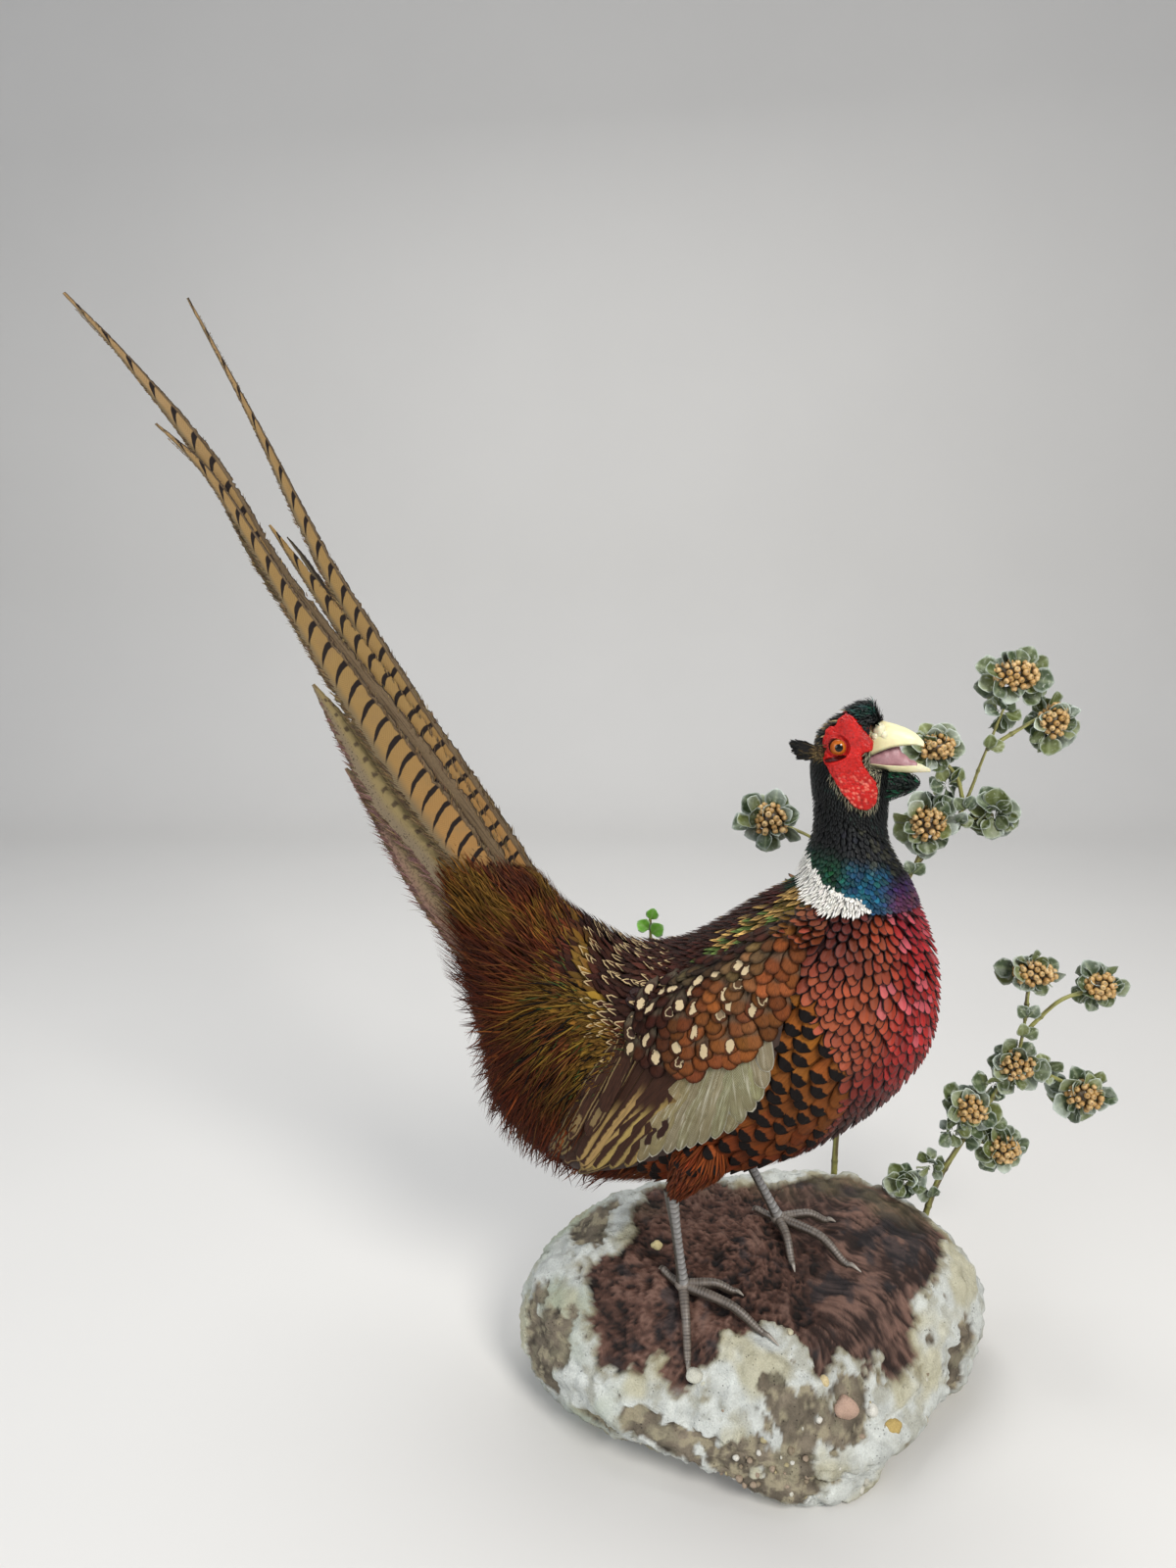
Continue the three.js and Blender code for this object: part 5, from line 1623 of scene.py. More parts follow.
def make_face(side, name, look):
    """The bare red skin round one eye, with grains, a lid and a dark fold below the eye."""
    rows, columns = 190, 180
    u, a = grid(np.linspace(.5, 8.3, rows), side * np.radians(np.linspace(24, 158, columns)))
    p, _, _, n = slopes(body, u, a)
    x, y, z = p[..., 0], np.abs(p[..., 1]), p[..., 2]
    d = inside(FACE, x, z)
    d = d + .35 * noise(np.stack([x * .5, z * .5], -1), 2)
    coarse, chance = domes(x + .3 * z, z, 1.55, 5)
    fine, _ = domes(x, z - .2 * x, .85, 9)
    low = step(z, 437, 428)
    grains = (coarse * .42 + fine * .12) * (.35 + .65 * low) + fine * .16 * (1 - low)
    folds = .22 * rough(np.stack([x * .16, z * .22], -1), 3, 4)
    height = (-2.1 + 3.35 * step(d, -.7, .9) + .45 * step(d, .5, 5)
              + (grains + folds) * step(d, -.2, 1))
    eye = np.hypot(x - EYE[0], (z - EYE[2]) * 1.06)
    ball = EYE[1] + np.sqrt(np.clip(EYE_RADIUS**2 - eye**2, 0, None)) - y
    lid = step(eye, 7.2, 4.35)
    wrinkle = .14 * np.sin(np.clip(eye - 4.05, 0, 3.4) * 5.2) * step(eye, 7.8, 5.9)
    height = (height * (1 - lid) + (ball + .3) * lid + .2 * np.exp(-((eye - 4.65) / .4)**2)
              + wrinkle)
    height = height - 2.2 * step(eye, 4.36, 4.1)
    (x0, z0), (dx, dz) = FOLD_START, FOLD_WAY
    fold_t = np.clip(((x - x0) * dx + (z - z0) * dz) / (dx**2 + dz**2), 0, 1)
    fold = np.hypot(x - x0 - fold_t * dx, z - z0 - fold_t * dz)
    width = 1.75 * np.sin(math.pi * np.clip(fold_t * .8 + .18, 0, 1))**.7
    pit = step(fold, width, width * .55)
    height = height - 1.5 * pit + .35 * np.exp(-((fold - width - .4) / .5)**2)
    points, groups = hub_solid(p + n * height[..., None], np.array([57, side * 2.0, 436]))
    deep = "5c0705"
    tint = blend(deep, "b4140d", np.clip(.25 + (coarse * .45 + fine * .5), 0, 1))
    pink = step(z, 431, 424) * step(chance, .35, .7) * coarse**1.5
    tint = blend(tint, "d67f6a", pink * .62)
    tint = tint * (1 + .18 * rough(np.stack([x * .2, z * .2], -1), 3, 8))[..., None]
    tint = blend(tint, "a3190f", step(eye, 5.5, 4.65) * .7)
    tint = tint * (1 - .8 * step(eye, 4.4, 4.24))[..., None]
    tint = blend(tint, "120606", pit * (.75 + .2 * fine))
    tint = np.concatenate([np.clip(tint, 0, 1).reshape(-1, 3), [rgb(deep)]])
    r, c = grid(np.linspace(.02, .98, rows), np.linspace(.02, .98, columns))
    uv = np.concatenate([np.stack([c, r], -1).reshape(-1, 2), [[.5, .5]]])
    make_mesh(f"face_skin_{name}", points, groups, look, "wattle", tints=tint,
              uvs={"OFBake": uv}, replaces=[f"wattle_{name}"])


def face_look():
    look = Look("face_skin", Roughness=.42, Specular_IOR_Level=.3)
    tint, _ = look.tint()
    grain = look.cells(1100) + look.noise(2200, 2) * .4
    return look.finish(shade(look, tint, look.noise(900, 3) * .5 + .75), bump=grain, strength=.5)


def make_eye(side, name, look):
    """An eyeball whose map Vane holds the distance from the middle of the pupil."""
    axis = unit(np.array([.10, side * 1.0, .04]))
    first = unit(np.cross(axis, [0, 0, 1.0]))
    second = np.cross(axis, first)
    q, t, _ = sphere(40, 48)
    radius = EYE_RADIUS * (1 + .035 * np.exp(-(q / .5)**2))
    ring = np.sin(q)[..., None] * (np.cos(t)[..., None] * first + np.sin(t)[..., None] * second)
    rings = EYE * [1, side, 1] + radius[..., None] * (ring + np.cos(q)[..., None] * axis)
    points, groups = ring_solid(rings)
    out = np.concatenate([(EYE_RADIUS * q).reshape(-1), [0, EYE_RADIUS * math.pi]])
    vane = np.stack([out, np.concatenate([t.reshape(-1), [0, 0]])], -1)
    make_mesh(f"eye_{name}_ball", points, groups, look, "iris",
              uvs={"Vane": vane, "OFBake": ring_uvs(*q.shape)}, replaces=[f"eye_{name}"])


def eye_look():
    look = Look("eye", Roughness=.08, Specular_IOR_Level=.32)
    out, _ = look.uv("Vane")
    cloud = look.noise(900, 3)
    iris = look.mix((out + cloud * .8).ramp(2.6, 5.1), (.42, .105, .008), (.32, .065, .006))
    iris = look.mix(cloud.ramp(.5, .75) * .5, iris, (.5, .19, .025))
    iris = look.mix(out.ramp(2.45, 2.15), iris, (.10, .022, .004))
    iris = look.mix(out.ramp(2.22, 2.08), iris, (.003, .003, .003))
    return look.finish(look.mix(out.ramp(5.3, 5.8), iris, (.018, .006, .004)))


# Cross-sections from the root to the tip: x, top and bottom as z, and half width.
UPPER_BILL = [(58, 455, 436, 7), (66, 456, 436, 8), (72, 456.6, 438.8, 8), (77, 455.4, 441, 7.4),
              (82, 454.2, 442.6, 6.6), (88, 452.1, 443.4, 5.2), (93, 449.3, 443.6, 3.6),
              (97.4, 445, 442.4, 1.2)]
LOWER_BILL = [(58, 434, 429, 7), (66, 433, 429, 8), (73, 432.6, 428, 7.6), (80, 432, 427.2, 6.8),
              (88, 432, 427, 5.6), (95, 432, 427.4, 4), (101.8, 429.6, 428, 1)]
TONGUE = [(60, 438, 431, 6.4), (68, 438.6, 431, 7), (75, 441.2, 431, 6.6), (80, 443, 431, 5.6),
          (83.5, 443.2, 431, 4.8), (86, 438.8, 431, 4.2), (90, 435.4, 430.8, 3.2),
          (94.5, 432.8, 430.5, 1.6)]
# The soft knobs over the nostrils: middle and radii, on the left side.
CERE = [((72.6, 4.7, 451.6), (3.6, 3.3, 4.2)), ((75.4, 4.6, 448.9), (2.6, 2.9, 2.8)),
        ((70.6, 5.2, 447.9), (2.4, 2.6, 2.6))]


def bill_rings(slices, outer_is_top, hollow, rows=60, columns=44):
    """Rings of a half of the bill or the tongue, and how far out each place faces."""
    values = smooth(slices, np.linspace(0, len(slices) - 1, rows))
    x, top, bottom, half = values.T[..., None]
    edge, crest = (bottom, top) if outer_is_top else (top, bottom)
    angle = turns(columns)
    out = np.sin(angle)[None]
    lip = .06 * np.exp(-(out / .16)**2)
    reach = np.where(out > 0, out * (crest - edge), -out * hollow * (crest - edge))
    across = half * np.cos(angle) * (1 - .1 * np.clip(out, 0, 1)**2 + lip)
    return np.stack(np.broadcast_arrays(x, across, edge + reach), -1), np.broadcast_to(
        out, (rows, columns))


def make_bill(look, lining_look):
    """Both halves of the bill, the tongue and the knobs over the nostrils."""
    pieces = (("upper", UPPER_BILL, True, .3, "bill_upper"),
              ("lower", LOWER_BILL, False, .45, "bill_lower"))
    for name, slices, outer_is_top, hollow, node in pieces:
        rings, out = bill_rings(slices, outer_is_top, hollow)
        x = rings[..., 0]
        rings = rings + .12 * noise(rings * [.5, .9, .9], 6)[..., None] * [0, 1, .6]
        points, groups = ring_solid(rings)
        ivory = blend("d8d1a4", "b9ab78", step(x, 80, 68) * .5)
        ivory = blend(ivory, "e4dfc2", step(x, 88, 97) * .6)
        inner = step(out, -.22, -.5) * (step(x, 92, 84) if outer_is_top else step(x, 88, 80))
        seam = np.exp(-((out + .08) / .06)**2) * .25
        tint = capped(blend(ivory, "8f6468", inner) * (1 - seam[..., None]))
        make_mesh(f"bill_{name}_horn", points, groups, look, "bill", tints=tint,
                  uvs={"OFBake": ring_uvs(*x.shape)}, replaces=[node])
    rings, out = bill_rings(TONGUE, True, 0, 50, 36)
    top = np.clip(out, 0, 1)
    groove = .7 * np.exp(-(rings[..., 1] / .7)**2) * top * step(rings[..., 0], 90, 80)
    fold = .35 * np.sin(rings[..., 0] * 1.3 + rings[..., 1] * .8) * top
    rings = rings + (fold - groove)[..., None] * [0, 0, 1]
    points, groups = ring_solid(rings)
    tint = blend("94686c", "a98084", top * .6) * (1 + .12 * noise(rings * .5, 3))[..., None]
    make_mesh("mouth_lining", points, groups, lining_look, "mouth", tints=capped(tint, 0),
              uvs={"OFBake": ring_uvs(*top.shape)}, replaces=["tongue"])
    pile = Pile()
    q, _, ball = sphere(26, 36)
    for side in (-1, 1):
        for centre, radii in CERE:
            knob = 1 + .10 * rough(ball * 1.9 + centre[0], 3, 2)
            points, groups = ring_solid(
                ball * knob[..., None] * radii + np.array(centre) * [1, side, 1])
            patch = [.2 * (centre[0] - 70) / 2, .3 + side * .2]
            pile.add(points, groups, rgb("dad5b4"), ring_uvs(*q.shape) * .16 + patch)
    pile.make("cere", look, "bill")


def bill_look():
    look = Look("bill", Roughness=.38, Specular_IOR_Level=.5, Subsurface_Weight=.12,
                Subsurface_Scale=.002)
    tint, _ = look.tint()
    stain = look.noise(180, 4).ramp(.5, .75) * .35
    grain = look.noise(1200, 3, look.place((.25, 1, 1)))
    colour = look.mix(stain, shade(look, tint, grain * .2 + .9), (.5, .40, .2))
    return look.finish(colour, bump=grain, strength=.35)


def lining_look():
    look = Look("mouth_lining", Roughness=.42, Specular_IOR_Level=.5)
    tint, _ = look.tint()
    return look.finish(shade(look, tint, look.noise(600, 3) * .5 + .75),
                       bump=look.noise(1400, 3), strength=.5)


def make_ear_tuft(side, name, look):
    """A flat horn of black feathers, buff at its foot and cut aslant at its end."""
    def surface(x, y):
        x, y = np.asarray(x, float), np.asarray(y, float)
        return np.stack([41 - x, side * (14.2 + x * .33), (435.8 - 2.8 * side) + y], -1)
    surface.facing = -side
    coat = Coat(surface, lambda x, y: np.stack([x / 30 + .3, y / 40 + .5], -1))
    for layer in range(5):
        count = 70
        foot = rng.uniform(-1, 1, count)
        notch = 2.6 * noise(np.stack([foot * 3.3, foot * 0 + layer], -1), 3)
        reach = np.clip(12.2 + 2.4 * foot + notch + rng.normal(0, 1, count), 7, 16)
        end = np.stack([reach, foot * 4.3 + 1.7 + rng.normal(0, .8, count)], 1)
        start = np.stack([rng.uniform(-2.0, 1.5, count), foot * 2.6], 1)
        p0, p1 = surface(*start.T), surface(*end.T)
        length = np.linalg.norm(p1 - p0, axis=1)
        tint = two_tone(count, .12, "3a3020", "050606")
        coat.grow(*end.T, p1 - p0, length, rng.uniform(.35, .6, count), "blade", 3,
                  jitter(tint, .3, .1), (2 - layer) * .8, lift=(layer - 2) * .8, shown=1.0,
                  bent=.05, ragged=.15)
    count = 150
    x, y = rng.uniform(-1, 5, count), rng.uniform(-3.4, 3.8, count)
    heading = surface(x + 1, y * 1.1) - surface(x, y)
    brown = two_tone(count, .55, "75603c", "241c12")
    coat.grow(x, y, heading + rng.normal(0, .25, (count, 3)), rng.uniform(4, 7.5, count), .3,
              "hair", 3, jitter(brown, .45, .06), -2.2, lift=2.4, bent=.3)
    pieces = coat.make(f"ear_tuft_{name}_feathers", look, "head_feathers")
    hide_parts(f"ear_tuft_{name}")


def make_bristles(look):
    """Grey-beige bristles under and behind the bare face, buff ones behind the crown."""
    coat = Coat(body, body_unwrap)

    def keep(u, a):
        x, _, z = np.moveaxis(body(u, a), -1, 0)
        return between(face_distance(u, a), -.4, 3.4) & (z < 446) & (x < 74) \
            & (degrees_from_back(a) > 60)
    u, a = scatter(body, (1.5, 8.6), FULL_TURN, .85, keep, 51)
    tint = jitter(two_tone(len(u), .66, "a09a80", "2b2a22"), .3, .05)
    down = np.array([-.35, 0, -1.0])
    coat.grow(u, a, along(body, u, a) + down * .6, rng.uniform(4, 7.5, len(u)), .3, "hair", 3,
              tint, .2, lift=1.0, bent=.2)
    coat.make("face_bristles", look, "head_feathers")


the_face, the_eye, horn = face_look(), eye_look(), bill_look()
for head_name, head_side in SIDES.items():
    make_face(head_side, head_name, the_face)
    make_eye(head_side, head_name, the_eye)
    make_ear_tuft(head_side, head_name, dark_gloss)
make_bill(horn, lining_look())
make_bristles(hair_look)


# ---------------------------------------------------------------- rock

ROCK_CENTRE = (5, -22)
ROCK_FOOT = [134, 126, 112, 100, 100, 118, 144, 102, 72, 96, 102, 84]
ROCK_GIRTH = [149, 155, 132, 104, 112, 146, 157, 132, 108, 111, 108, 116]

# The dark, fibrous part of the rock's top, and ellipsoids where the pale crust is worn.
BARK_OUTLINE = np.array([
    [-115, -35], [-111, -55], [-105, -78], [-78, -87], [-55, -97], [-38, -100], [-31, -94],
    [-28, -86], [-18, -83], [-4, -77], [10, -78], [20, -91], [27, -99], [41, -93], [55, -89],
    [74, -90], [88, -79], [97, -62], [117, -38], [131, 0], [126, 34], [88, 48], [40, 44],
    [26, 26], [-6, 34], [-36, 44], [-70, 30], [-76, 4], [-78, -24], [-92, -38],
])
WORN = [
    (-136, -52, 58, 19, 34), (-143, -32, 72, 16, 20), (-110, 0, 99, 26, 14), (-57, -111, 36, 20, 8),
    (-78, -103, 40, 18, 7), (-26, -124, 30, 28, 17), (-2, -130, 24, 22, 15), (10, -116, 54, 20, 15),
    (32, -118, 46, 24, 17), (48, -105, 57, 17, 17), (-4, -107, 67, 11, 6), (123, -61, 40, 16, 18),
    (134, -52, 56, 10, 15), (40, 96, 60, 50, 34), (-80, 90, 50, 46, 38), (-30, -118, 14, 44, 9),
    (18, -128, 22, 22, 9), (70, -98, 60, 9, 8), (-96, -84, 26, 18, 8), (120, 40, 60, 26, 30),
]
# Darker places of the fibre, as x, y and the half widths of an ellipse.
DARK_FIBRE = [(45, -55, 15, 9), (88, -30, 19, 14), (100, -20, 15, 22), (58, 34, 26, 10),
              (80, 24, 20, 12), (-60, -76, 8, 12)]


def around(radii, angle):
    """Radius at an angle, smooth through radii that are evenly spaced once round."""
    u = angle / (2 * math.pi) * len(radii) % len(radii)
    wrapped = np.array([radii[(k - 1) % len(radii)] for k in range(len(radii) + 3)], float)
    return smooth(wrapped[:, None], u + 1)[..., 0]


def rock_top(x, y):
    """Height of the rock's top at x and y of the world."""
    dx, dy = x - ROCK_CENTRE[0], y - ROCK_CENTRE[1]
    share = np.hypot(dx, dy) / around(ROCK_GIRTH, np.arctan2(dy, dx) % (2 * math.pi))
    lumps = np.sin(.09 * x + 1.3) * np.cos(.11 * y + .7) + .6 * np.sin(.21 * x - .17 * y)
    hollow = 7 * np.exp(-((x - 35)**2 + (y + 50)**2) / 1800)
    return (111 - .35 * np.maximum(0, -25 - y) - hollow - 190 * np.maximum(0, share - .5)**2
            + 1.2 * lumps)


def rock_surface(angle, v):
    """The rock's side for v from 0 at the foot to 1, and its top from there to 2."""
    girth, foot = around(ROCK_GIRTH, angle), around(ROCK_FOOT, angle)
    height = np.clip(v, 0, 1)
    bulge = np.interp(height, [0, .1, .2, .33, .46, .6, .75, .9],
                      [0, .16, .34, .62, .85, .97, 1, 1])
    side = foot + (girth - foot) * bulge
    top = girth * .95 * np.clip(2 - v, 0, 1)
    rim = girth * .95
    edge = step(height, .68, 1.0)
    ripple = 2.5 * np.sin(5 * angle + 9 * height) * step(height, 0, .1) * (1 - edge)
    radius = np.where(v > 1, top, side * (1 - edge) + rim * edge + ripple)
    x = ROCK_CENTRE[0] + radius * np.cos(angle)
    y = ROCK_CENTRE[1] + radius * np.sin(angle)
    rim_z = rock_top(ROCK_CENTRE[0] + rim * np.cos(angle), ROCK_CENTRE[1] + rim * np.sin(angle))
    return np.stack([x, y, np.where(v > 1, rock_top(x, y), height * rim_z)], -1)


def patch_share(p, ellipses):
    """How far a place lies in any of the ellipses or ellipsoids, from 0 outside."""
    best = np.zeros(p.shape[:-1])
    for *middle, wide, high in ellipses:
        size = [wide, wide, high] if len(middle) == 3 else [wide, high]
        far = np.sqrt((((p[..., :len(middle)] - middle) / size)**2).sum(-1))
        best = np.maximum(best, 1.35 - far)
    return best


def from_toes(p):
    """How far a place lies from the nearest toe or claw, seen from above."""
    best = np.full(p.shape[:-1], 99.0)
    for _, (x, y), toes in LEGS.values():
        for dx, dy, *_ in toes:
            start = to_world([x, y, 0.0])[:2]
            way = to_world([x + dx * 1.25, y + dy * 1.25, 0.0])[:2] - start
            t = np.clip(((p[..., :2] - start) * way).sum(-1) / (way * way).sum(), 0, 1)
            gap = p[..., :2] - start - way * t[..., None]
            best = np.minimum(best, np.hypot(gap[..., 0], gap[..., 1]))
    return best


def make_rock(look):
    """The rock: dark fibre on its top, pale crust round it, and worn places."""
    v, angle = grid(np.concatenate([np.linspace(0, 1, 74)[:-1], 2 - np.linspace(1, .02, 90)]),
                    turns(460))
    p, pa, pv, _ = slopes(rock_surface, angle, np.clip(v, .002, 1.998))
    n = unit(np.cross(pa, pv))
    wobble = 6 * rough(p / 14, 4, 11) + 1.6 * noise(p / 2.6, 12)
    within = inside(BARK_OUTLINE, p[..., 0], p[..., 1]) + wobble
    bark = step(within, -.7, .9) * step(p[..., 2], 48, 60)
    worn = step(patch_share(p, WORN) + .62 * rough(p / 13, 5, 13) + .1 * noise(p / 2.4, 14), .42,
                .56) * (1 - bark)
    turn = .75 * noise(p[..., :2] / 85, 15) + .5
    warp = 9 * noise(p / 22, 16)
    across = p[..., 0] * np.cos(turn) + p[..., 1] * np.sin(turn) + warp
    along = p[..., 1] * np.cos(turn) - p[..., 0] * np.sin(turn) + .8 * p[..., 2]
    blobs = rough(p / 13, 4, 19)
    fibrous = step(p[..., 0] + 30 * blobs, 0, 45)
    ridge = 1 - np.abs(noise(np.stack([across / 5.5, along / 24], -1), 17)) * 2
    ridge = ridge * fibrous + (1 - np.abs(rough(p / 9, 3, 41)) * 3.2) * (1 - fibrous)
    fine = 1 - np.abs(noise(np.stack([across / 2.4, along / 13], -1), 18)) * 2
    fine = fine * fibrous + (1 - np.abs(rough(p / 3.4, 2, 43)) * 3) * (1 - fibrous)
    corner = step(p[..., 2], 62, 20) * step(p[..., 0], -30, 30) * step(p[..., 1], -70, -100)
    nodules, _ = domes(across * .7 + p[..., 2] * .3, p[..., 2] * .9 + along * .2, 10, 21)
    crust = (2.0 * blobs + 1.3 * rough(p / 4.2, 3, 23) + 1.6 - worn * 2.2
             + .9 * worn * rough(p / 2.6, 2, 25) + nodules * corner * 3.6)
    fibre = ridge * .9 + fine * .55 + blobs * 1.0 - 1.5
    height = np.minimum(crust * (1 - bark) + fibre * bark, -.7 + 5 * step(from_toes(p), 3, 9))
    ground = step(p[..., 2], 0, 5)
    keep = np.stack([n[..., 0], n[..., 1], n[..., 2] * ground], -1)
    points = p + keep * height[..., None]
    points[..., 2] = np.maximum(points[..., 2], 0) * step(v, -.01, .004)
    base = blend("53392f", "30221d", fibrous)
    # Painted light and shade on the fibre: its colour follows its relief, lighter on raised strands
    # and lumps and darker in the grooves, and lit carries the same into the grey and mossy patches.
    light = np.clip(.5 + .35 * ridge * .6 + .3 * fine + .35 * blobs, 0, 1)
    lit = (.5 + light)[..., None]
    brown = blend("1a1310", base, np.clip(light * 1.6, 0, 1))
    brown = brown + (rgb("765a4e") - base) * np.clip(light * 2 - 1.15, 0, 1)[..., None]
    grey = step(patch_share(p, DARK_FIBRE) + .8 * rough(p / 9, 4, 45), .3, .8)
    moss = step(p[..., 1], -20, 20) * step(rough(p / 30, 2, 27), -.2, .5)
    brown = blend(blend(brown, rgb("232224") * lit, grey * .75), rgb("544c37") * lit, moss * .6)
    plaster = rgb("c0c3bd") * (1 + .2 * rough(p / 6, 4, 29))[..., None]
    scuffed = rgb("6c6355") * (1 + .55 * rough(p / 7, 4, 35))[..., None]
    scuffed = blend(scuffed, "a39a80", step(rough(p / 5, 4, 37), .12, .5) * .7)
    green = step(p[..., 0], -80, -115) * step(noise(p / 20, 33), -.3, .4)
    for colour, share in (("b0a988", step(rough(p / 26, 3, 31), .05, .6) * .7),
                          ("9aa38d", green * .7), (scuffed, worn),
                          ("8b866f", step(rough(p / 9, 4, 39), .2, .6) * .45),
                          ("837a5c", np.exp(-(within / 2.2)**2) * .75)):
        plaster = blend(plaster, colour, share)
    tint = np.clip(blend(plaster, brown, bark), 0, 1)
    points, groups = ring_solid(points)
    points[-2] = (*ROCK_CENTRE, 0)
    make_mesh("rock_body", points, groups, look, "rock", replaces=["rock"], axes="world",
              tints=capped(np.concatenate([tint, bark[..., None]], -1)),
              uvs={"Grain": capped(np.stack([across, along], -1)), "OFBake": ring_uvs(*v.shape)})


def rock_look():
    look = Look("rock", Roughness=.86, Specular_IOR_Level=.25)
    tint, bark = look.tint()
    x, y = look.uv("Grain")
    thread = look.noise(1.1, 4, look.vector(x, y * .16))
    hair = look.noise(3.2, 3, look.vector(x, y * .12))
    sand = look.noise(900, 4)
    pits = look.cells(420).ramp(.22, .1) * look.noise(130, 2).ramp(.5, .62)
    fibre = thread * .45 + hair * .3 + look.noise(260, 5) * .45
    crust = sand * .8 - pits * .5
    relief = fibre * bark + crust * (bark * -1 + 1)
    value = (fibre * 1.5 + .1) * bark + (sand * .5 + .72 - pits * .55) * (bark * -1 + 1)
    colour = shade(look, tint, value)
    return look.finish(colour, rough=bark * -.18 + .9, bump=relief, height=.0016, strength=.8)


def make_stones(look):
    """Pebbles and crumbs set into the crust."""
    pile = Pile()
    random = np.random.default_rng(61)
    stones = [(-65, -31, 107, 3.4, "cdbf8c"), (42, -110, 54, 6.6, "b59784"),
              (59, -106, 49, 3.6, "d8d6cb"), (30, -104, 67, 3.2, "cbb98d"),
              (72, -106, 38, 5, "b39a5c"), (-46, -98, 66, 5, "c4c3b4"),
              (93, -92, 29, 4.4, "b7a375"), (-40, -99, 62, 3.6, "b9b8a8"),
              (12, -84, 84, 3, "c9c2a4"), (84, -99, 24, 4, "c8c2a8")]
    for k in range(110):
        angle = random.uniform(math.radians(-112), math.radians(-28))
        place = rock_surface(np.array(angle), np.array(random.uniform(.05, 1.08)))
        if inside(BARK_OUTLINE, place[0], place[1]) < -3 or place[2] < 50:
            colour = ("c6c3b4", "a99d77", "8a7c66", "d2cfc4", "9c8a76")[k % 5]
            stones.append((*place, random.uniform(.8, 2.4), colour))
    for k in range(60):
        angle = random.uniform(0, 2 * math.pi)
        place = rock_surface(np.array(angle), np.array(random.uniform(.02, .5)))
        stones.append((*place, random.uniform(1, 3), ("b9b6a8", "8f8671", "cfccc0")[k % 3]))
    for k, (x, y, z, size, colour) in enumerate(stones):
        _, _, ball = sphere(*(14, 18) if size > 3 else (7, 9))
        shape = size * random.uniform(.7, 1.15, 3)
        lump = 1 + .2 * rough(ball * 1.3 + k * 3.1, 2, 5)
        points, groups = ring_solid(ball * lump[..., None] * shape + (x, y, max(z, size)))
        pile.add(points, groups, rgb(colour))
    pile.make("rock_stones", look, "rock", axes="world")


def stone_look():
    look = Look("stones", Roughness=.8)
    tint, _ = look.tint()
    grain = look.noise(1300, 4)
    return look.finish(shade(look, tint, grain * .7 + .55), bump=grain, height=.0005)


make_rock(rock_look())
make_stones(stone_look())


# ---------------------------------------------------------------- legs

def on_rock(x, y, lift):
    """A place of the bird that lies a lift above the rock's top."""
    wx, wy, _ = to_world([x, y, 0.0])
    return np.array([x, y, rock_top(wx, wy) + lift])


def limb(knots, span, rows, columns, front, pattern):
    """A tube through (x, y, z, radius) knots. pattern(s, turn, radius) adds to its radius and
    gives its tint at s millimetres along and at a turn from its front."""
    values = smooth(np.array(knots, float), np.linspace(*span, rows))
    s = np.concatenate([[0], np.cumsum(np.linalg.norm(np.diff(values[:, :3], axis=0), axis=1))])
    s, turn = grid(s, (turns(columns) + math.pi) % (2 * math.pi) - math.pi)
    radius = np.repeat(values[:, 3:], columns, 1)
    more, tint = pattern(s, turn, radius)
    points, groups = ring_solid(tube_rings(values[:, :3], radius + more, columns, front))
    return points, groups, capped(tint, 0)


def scute_pattern(pitch, rise, reach):
    """Overlapping plates on the front, small round scales behind."""
    def pattern(s, turn, radius):
        plate = step(np.cos(turn), reach - .25, reach + .1)
        phase = (s / pitch + .08 * np.cos(turn * 3)) % 1
        saw = phase**1.5 * (1 - step(phase, .9, 1))
        grains, chance = domes(turn * radius, s, 1.5, 71)
        more = rise * saw * plate + .16 * grains * (1 - plate)
        line = step(phase, .84, .93) + step(phase, .06, 0)
        # A painted highlight: the front plates paler where they face forwards and towards each
        # plate's raised end.
        grey = blend("6e6b68", "a9a8a6", saw * step(np.cos(turn), .3, .95))
        front = grey * (1 - .72 * np.clip(line, 0, 1))[..., None]
        behind = rgb("3c372f") * (.55 + .6 * grains + .2 * chance)[..., None]
        return more, blend(behind, front, plate)
    return pattern


def toe_pattern(s, turn, radius):
    """Narrow plates over the toe, pads of fine scales under it."""
    plate = step(np.cos(turn), -.05, .3)
    phase = (s / 2.05) % 1
    saw = phase**1.4 * (1 - step(phase, .88, 1))
    pads = np.abs(np.sin(s / 11 * math.pi)) * step(np.cos(turn), -.3, -.9)
    grains, _ = domes(turn * radius, s, 1.1, 73)
    more = .24 * saw * plate + (.12 * grains + .55 * pads) * (1 - plate)
    line = np.clip(step(phase, .82, .93) + step(phase, .07, 0), 0, 1)
    worn = .25 * noise(np.stack([s / 6, turn * 2], -1), 75)
    # A painted highlight: the plates paler where they face upwards and towards each plate's raised
    # end.
    front = blend("5b5148", "857d74", saw * step(np.cos(turn), .4, 1))
    front = front * (1 - .65 * line + worn * (1 - line))[..., None]
    behind = rgb("3a322a") * (.6 + .5 * grains)[..., None]
    return more, blend(behind, front, plate)


def claw_pattern(s, turn, radius):
    """Fine rings, paler towards the claw's tip and hollow under it."""
    ridge = .12 * np.sin(s * 2.4)
    under = step(np.cos(turn), -.5, -.9)
    tint = blend("3f372f", "9a9287", step(s, 1, s.max() * .8))
    return ridge * .15 - .35 * under, tint * (1 - .3 * under)[..., None]


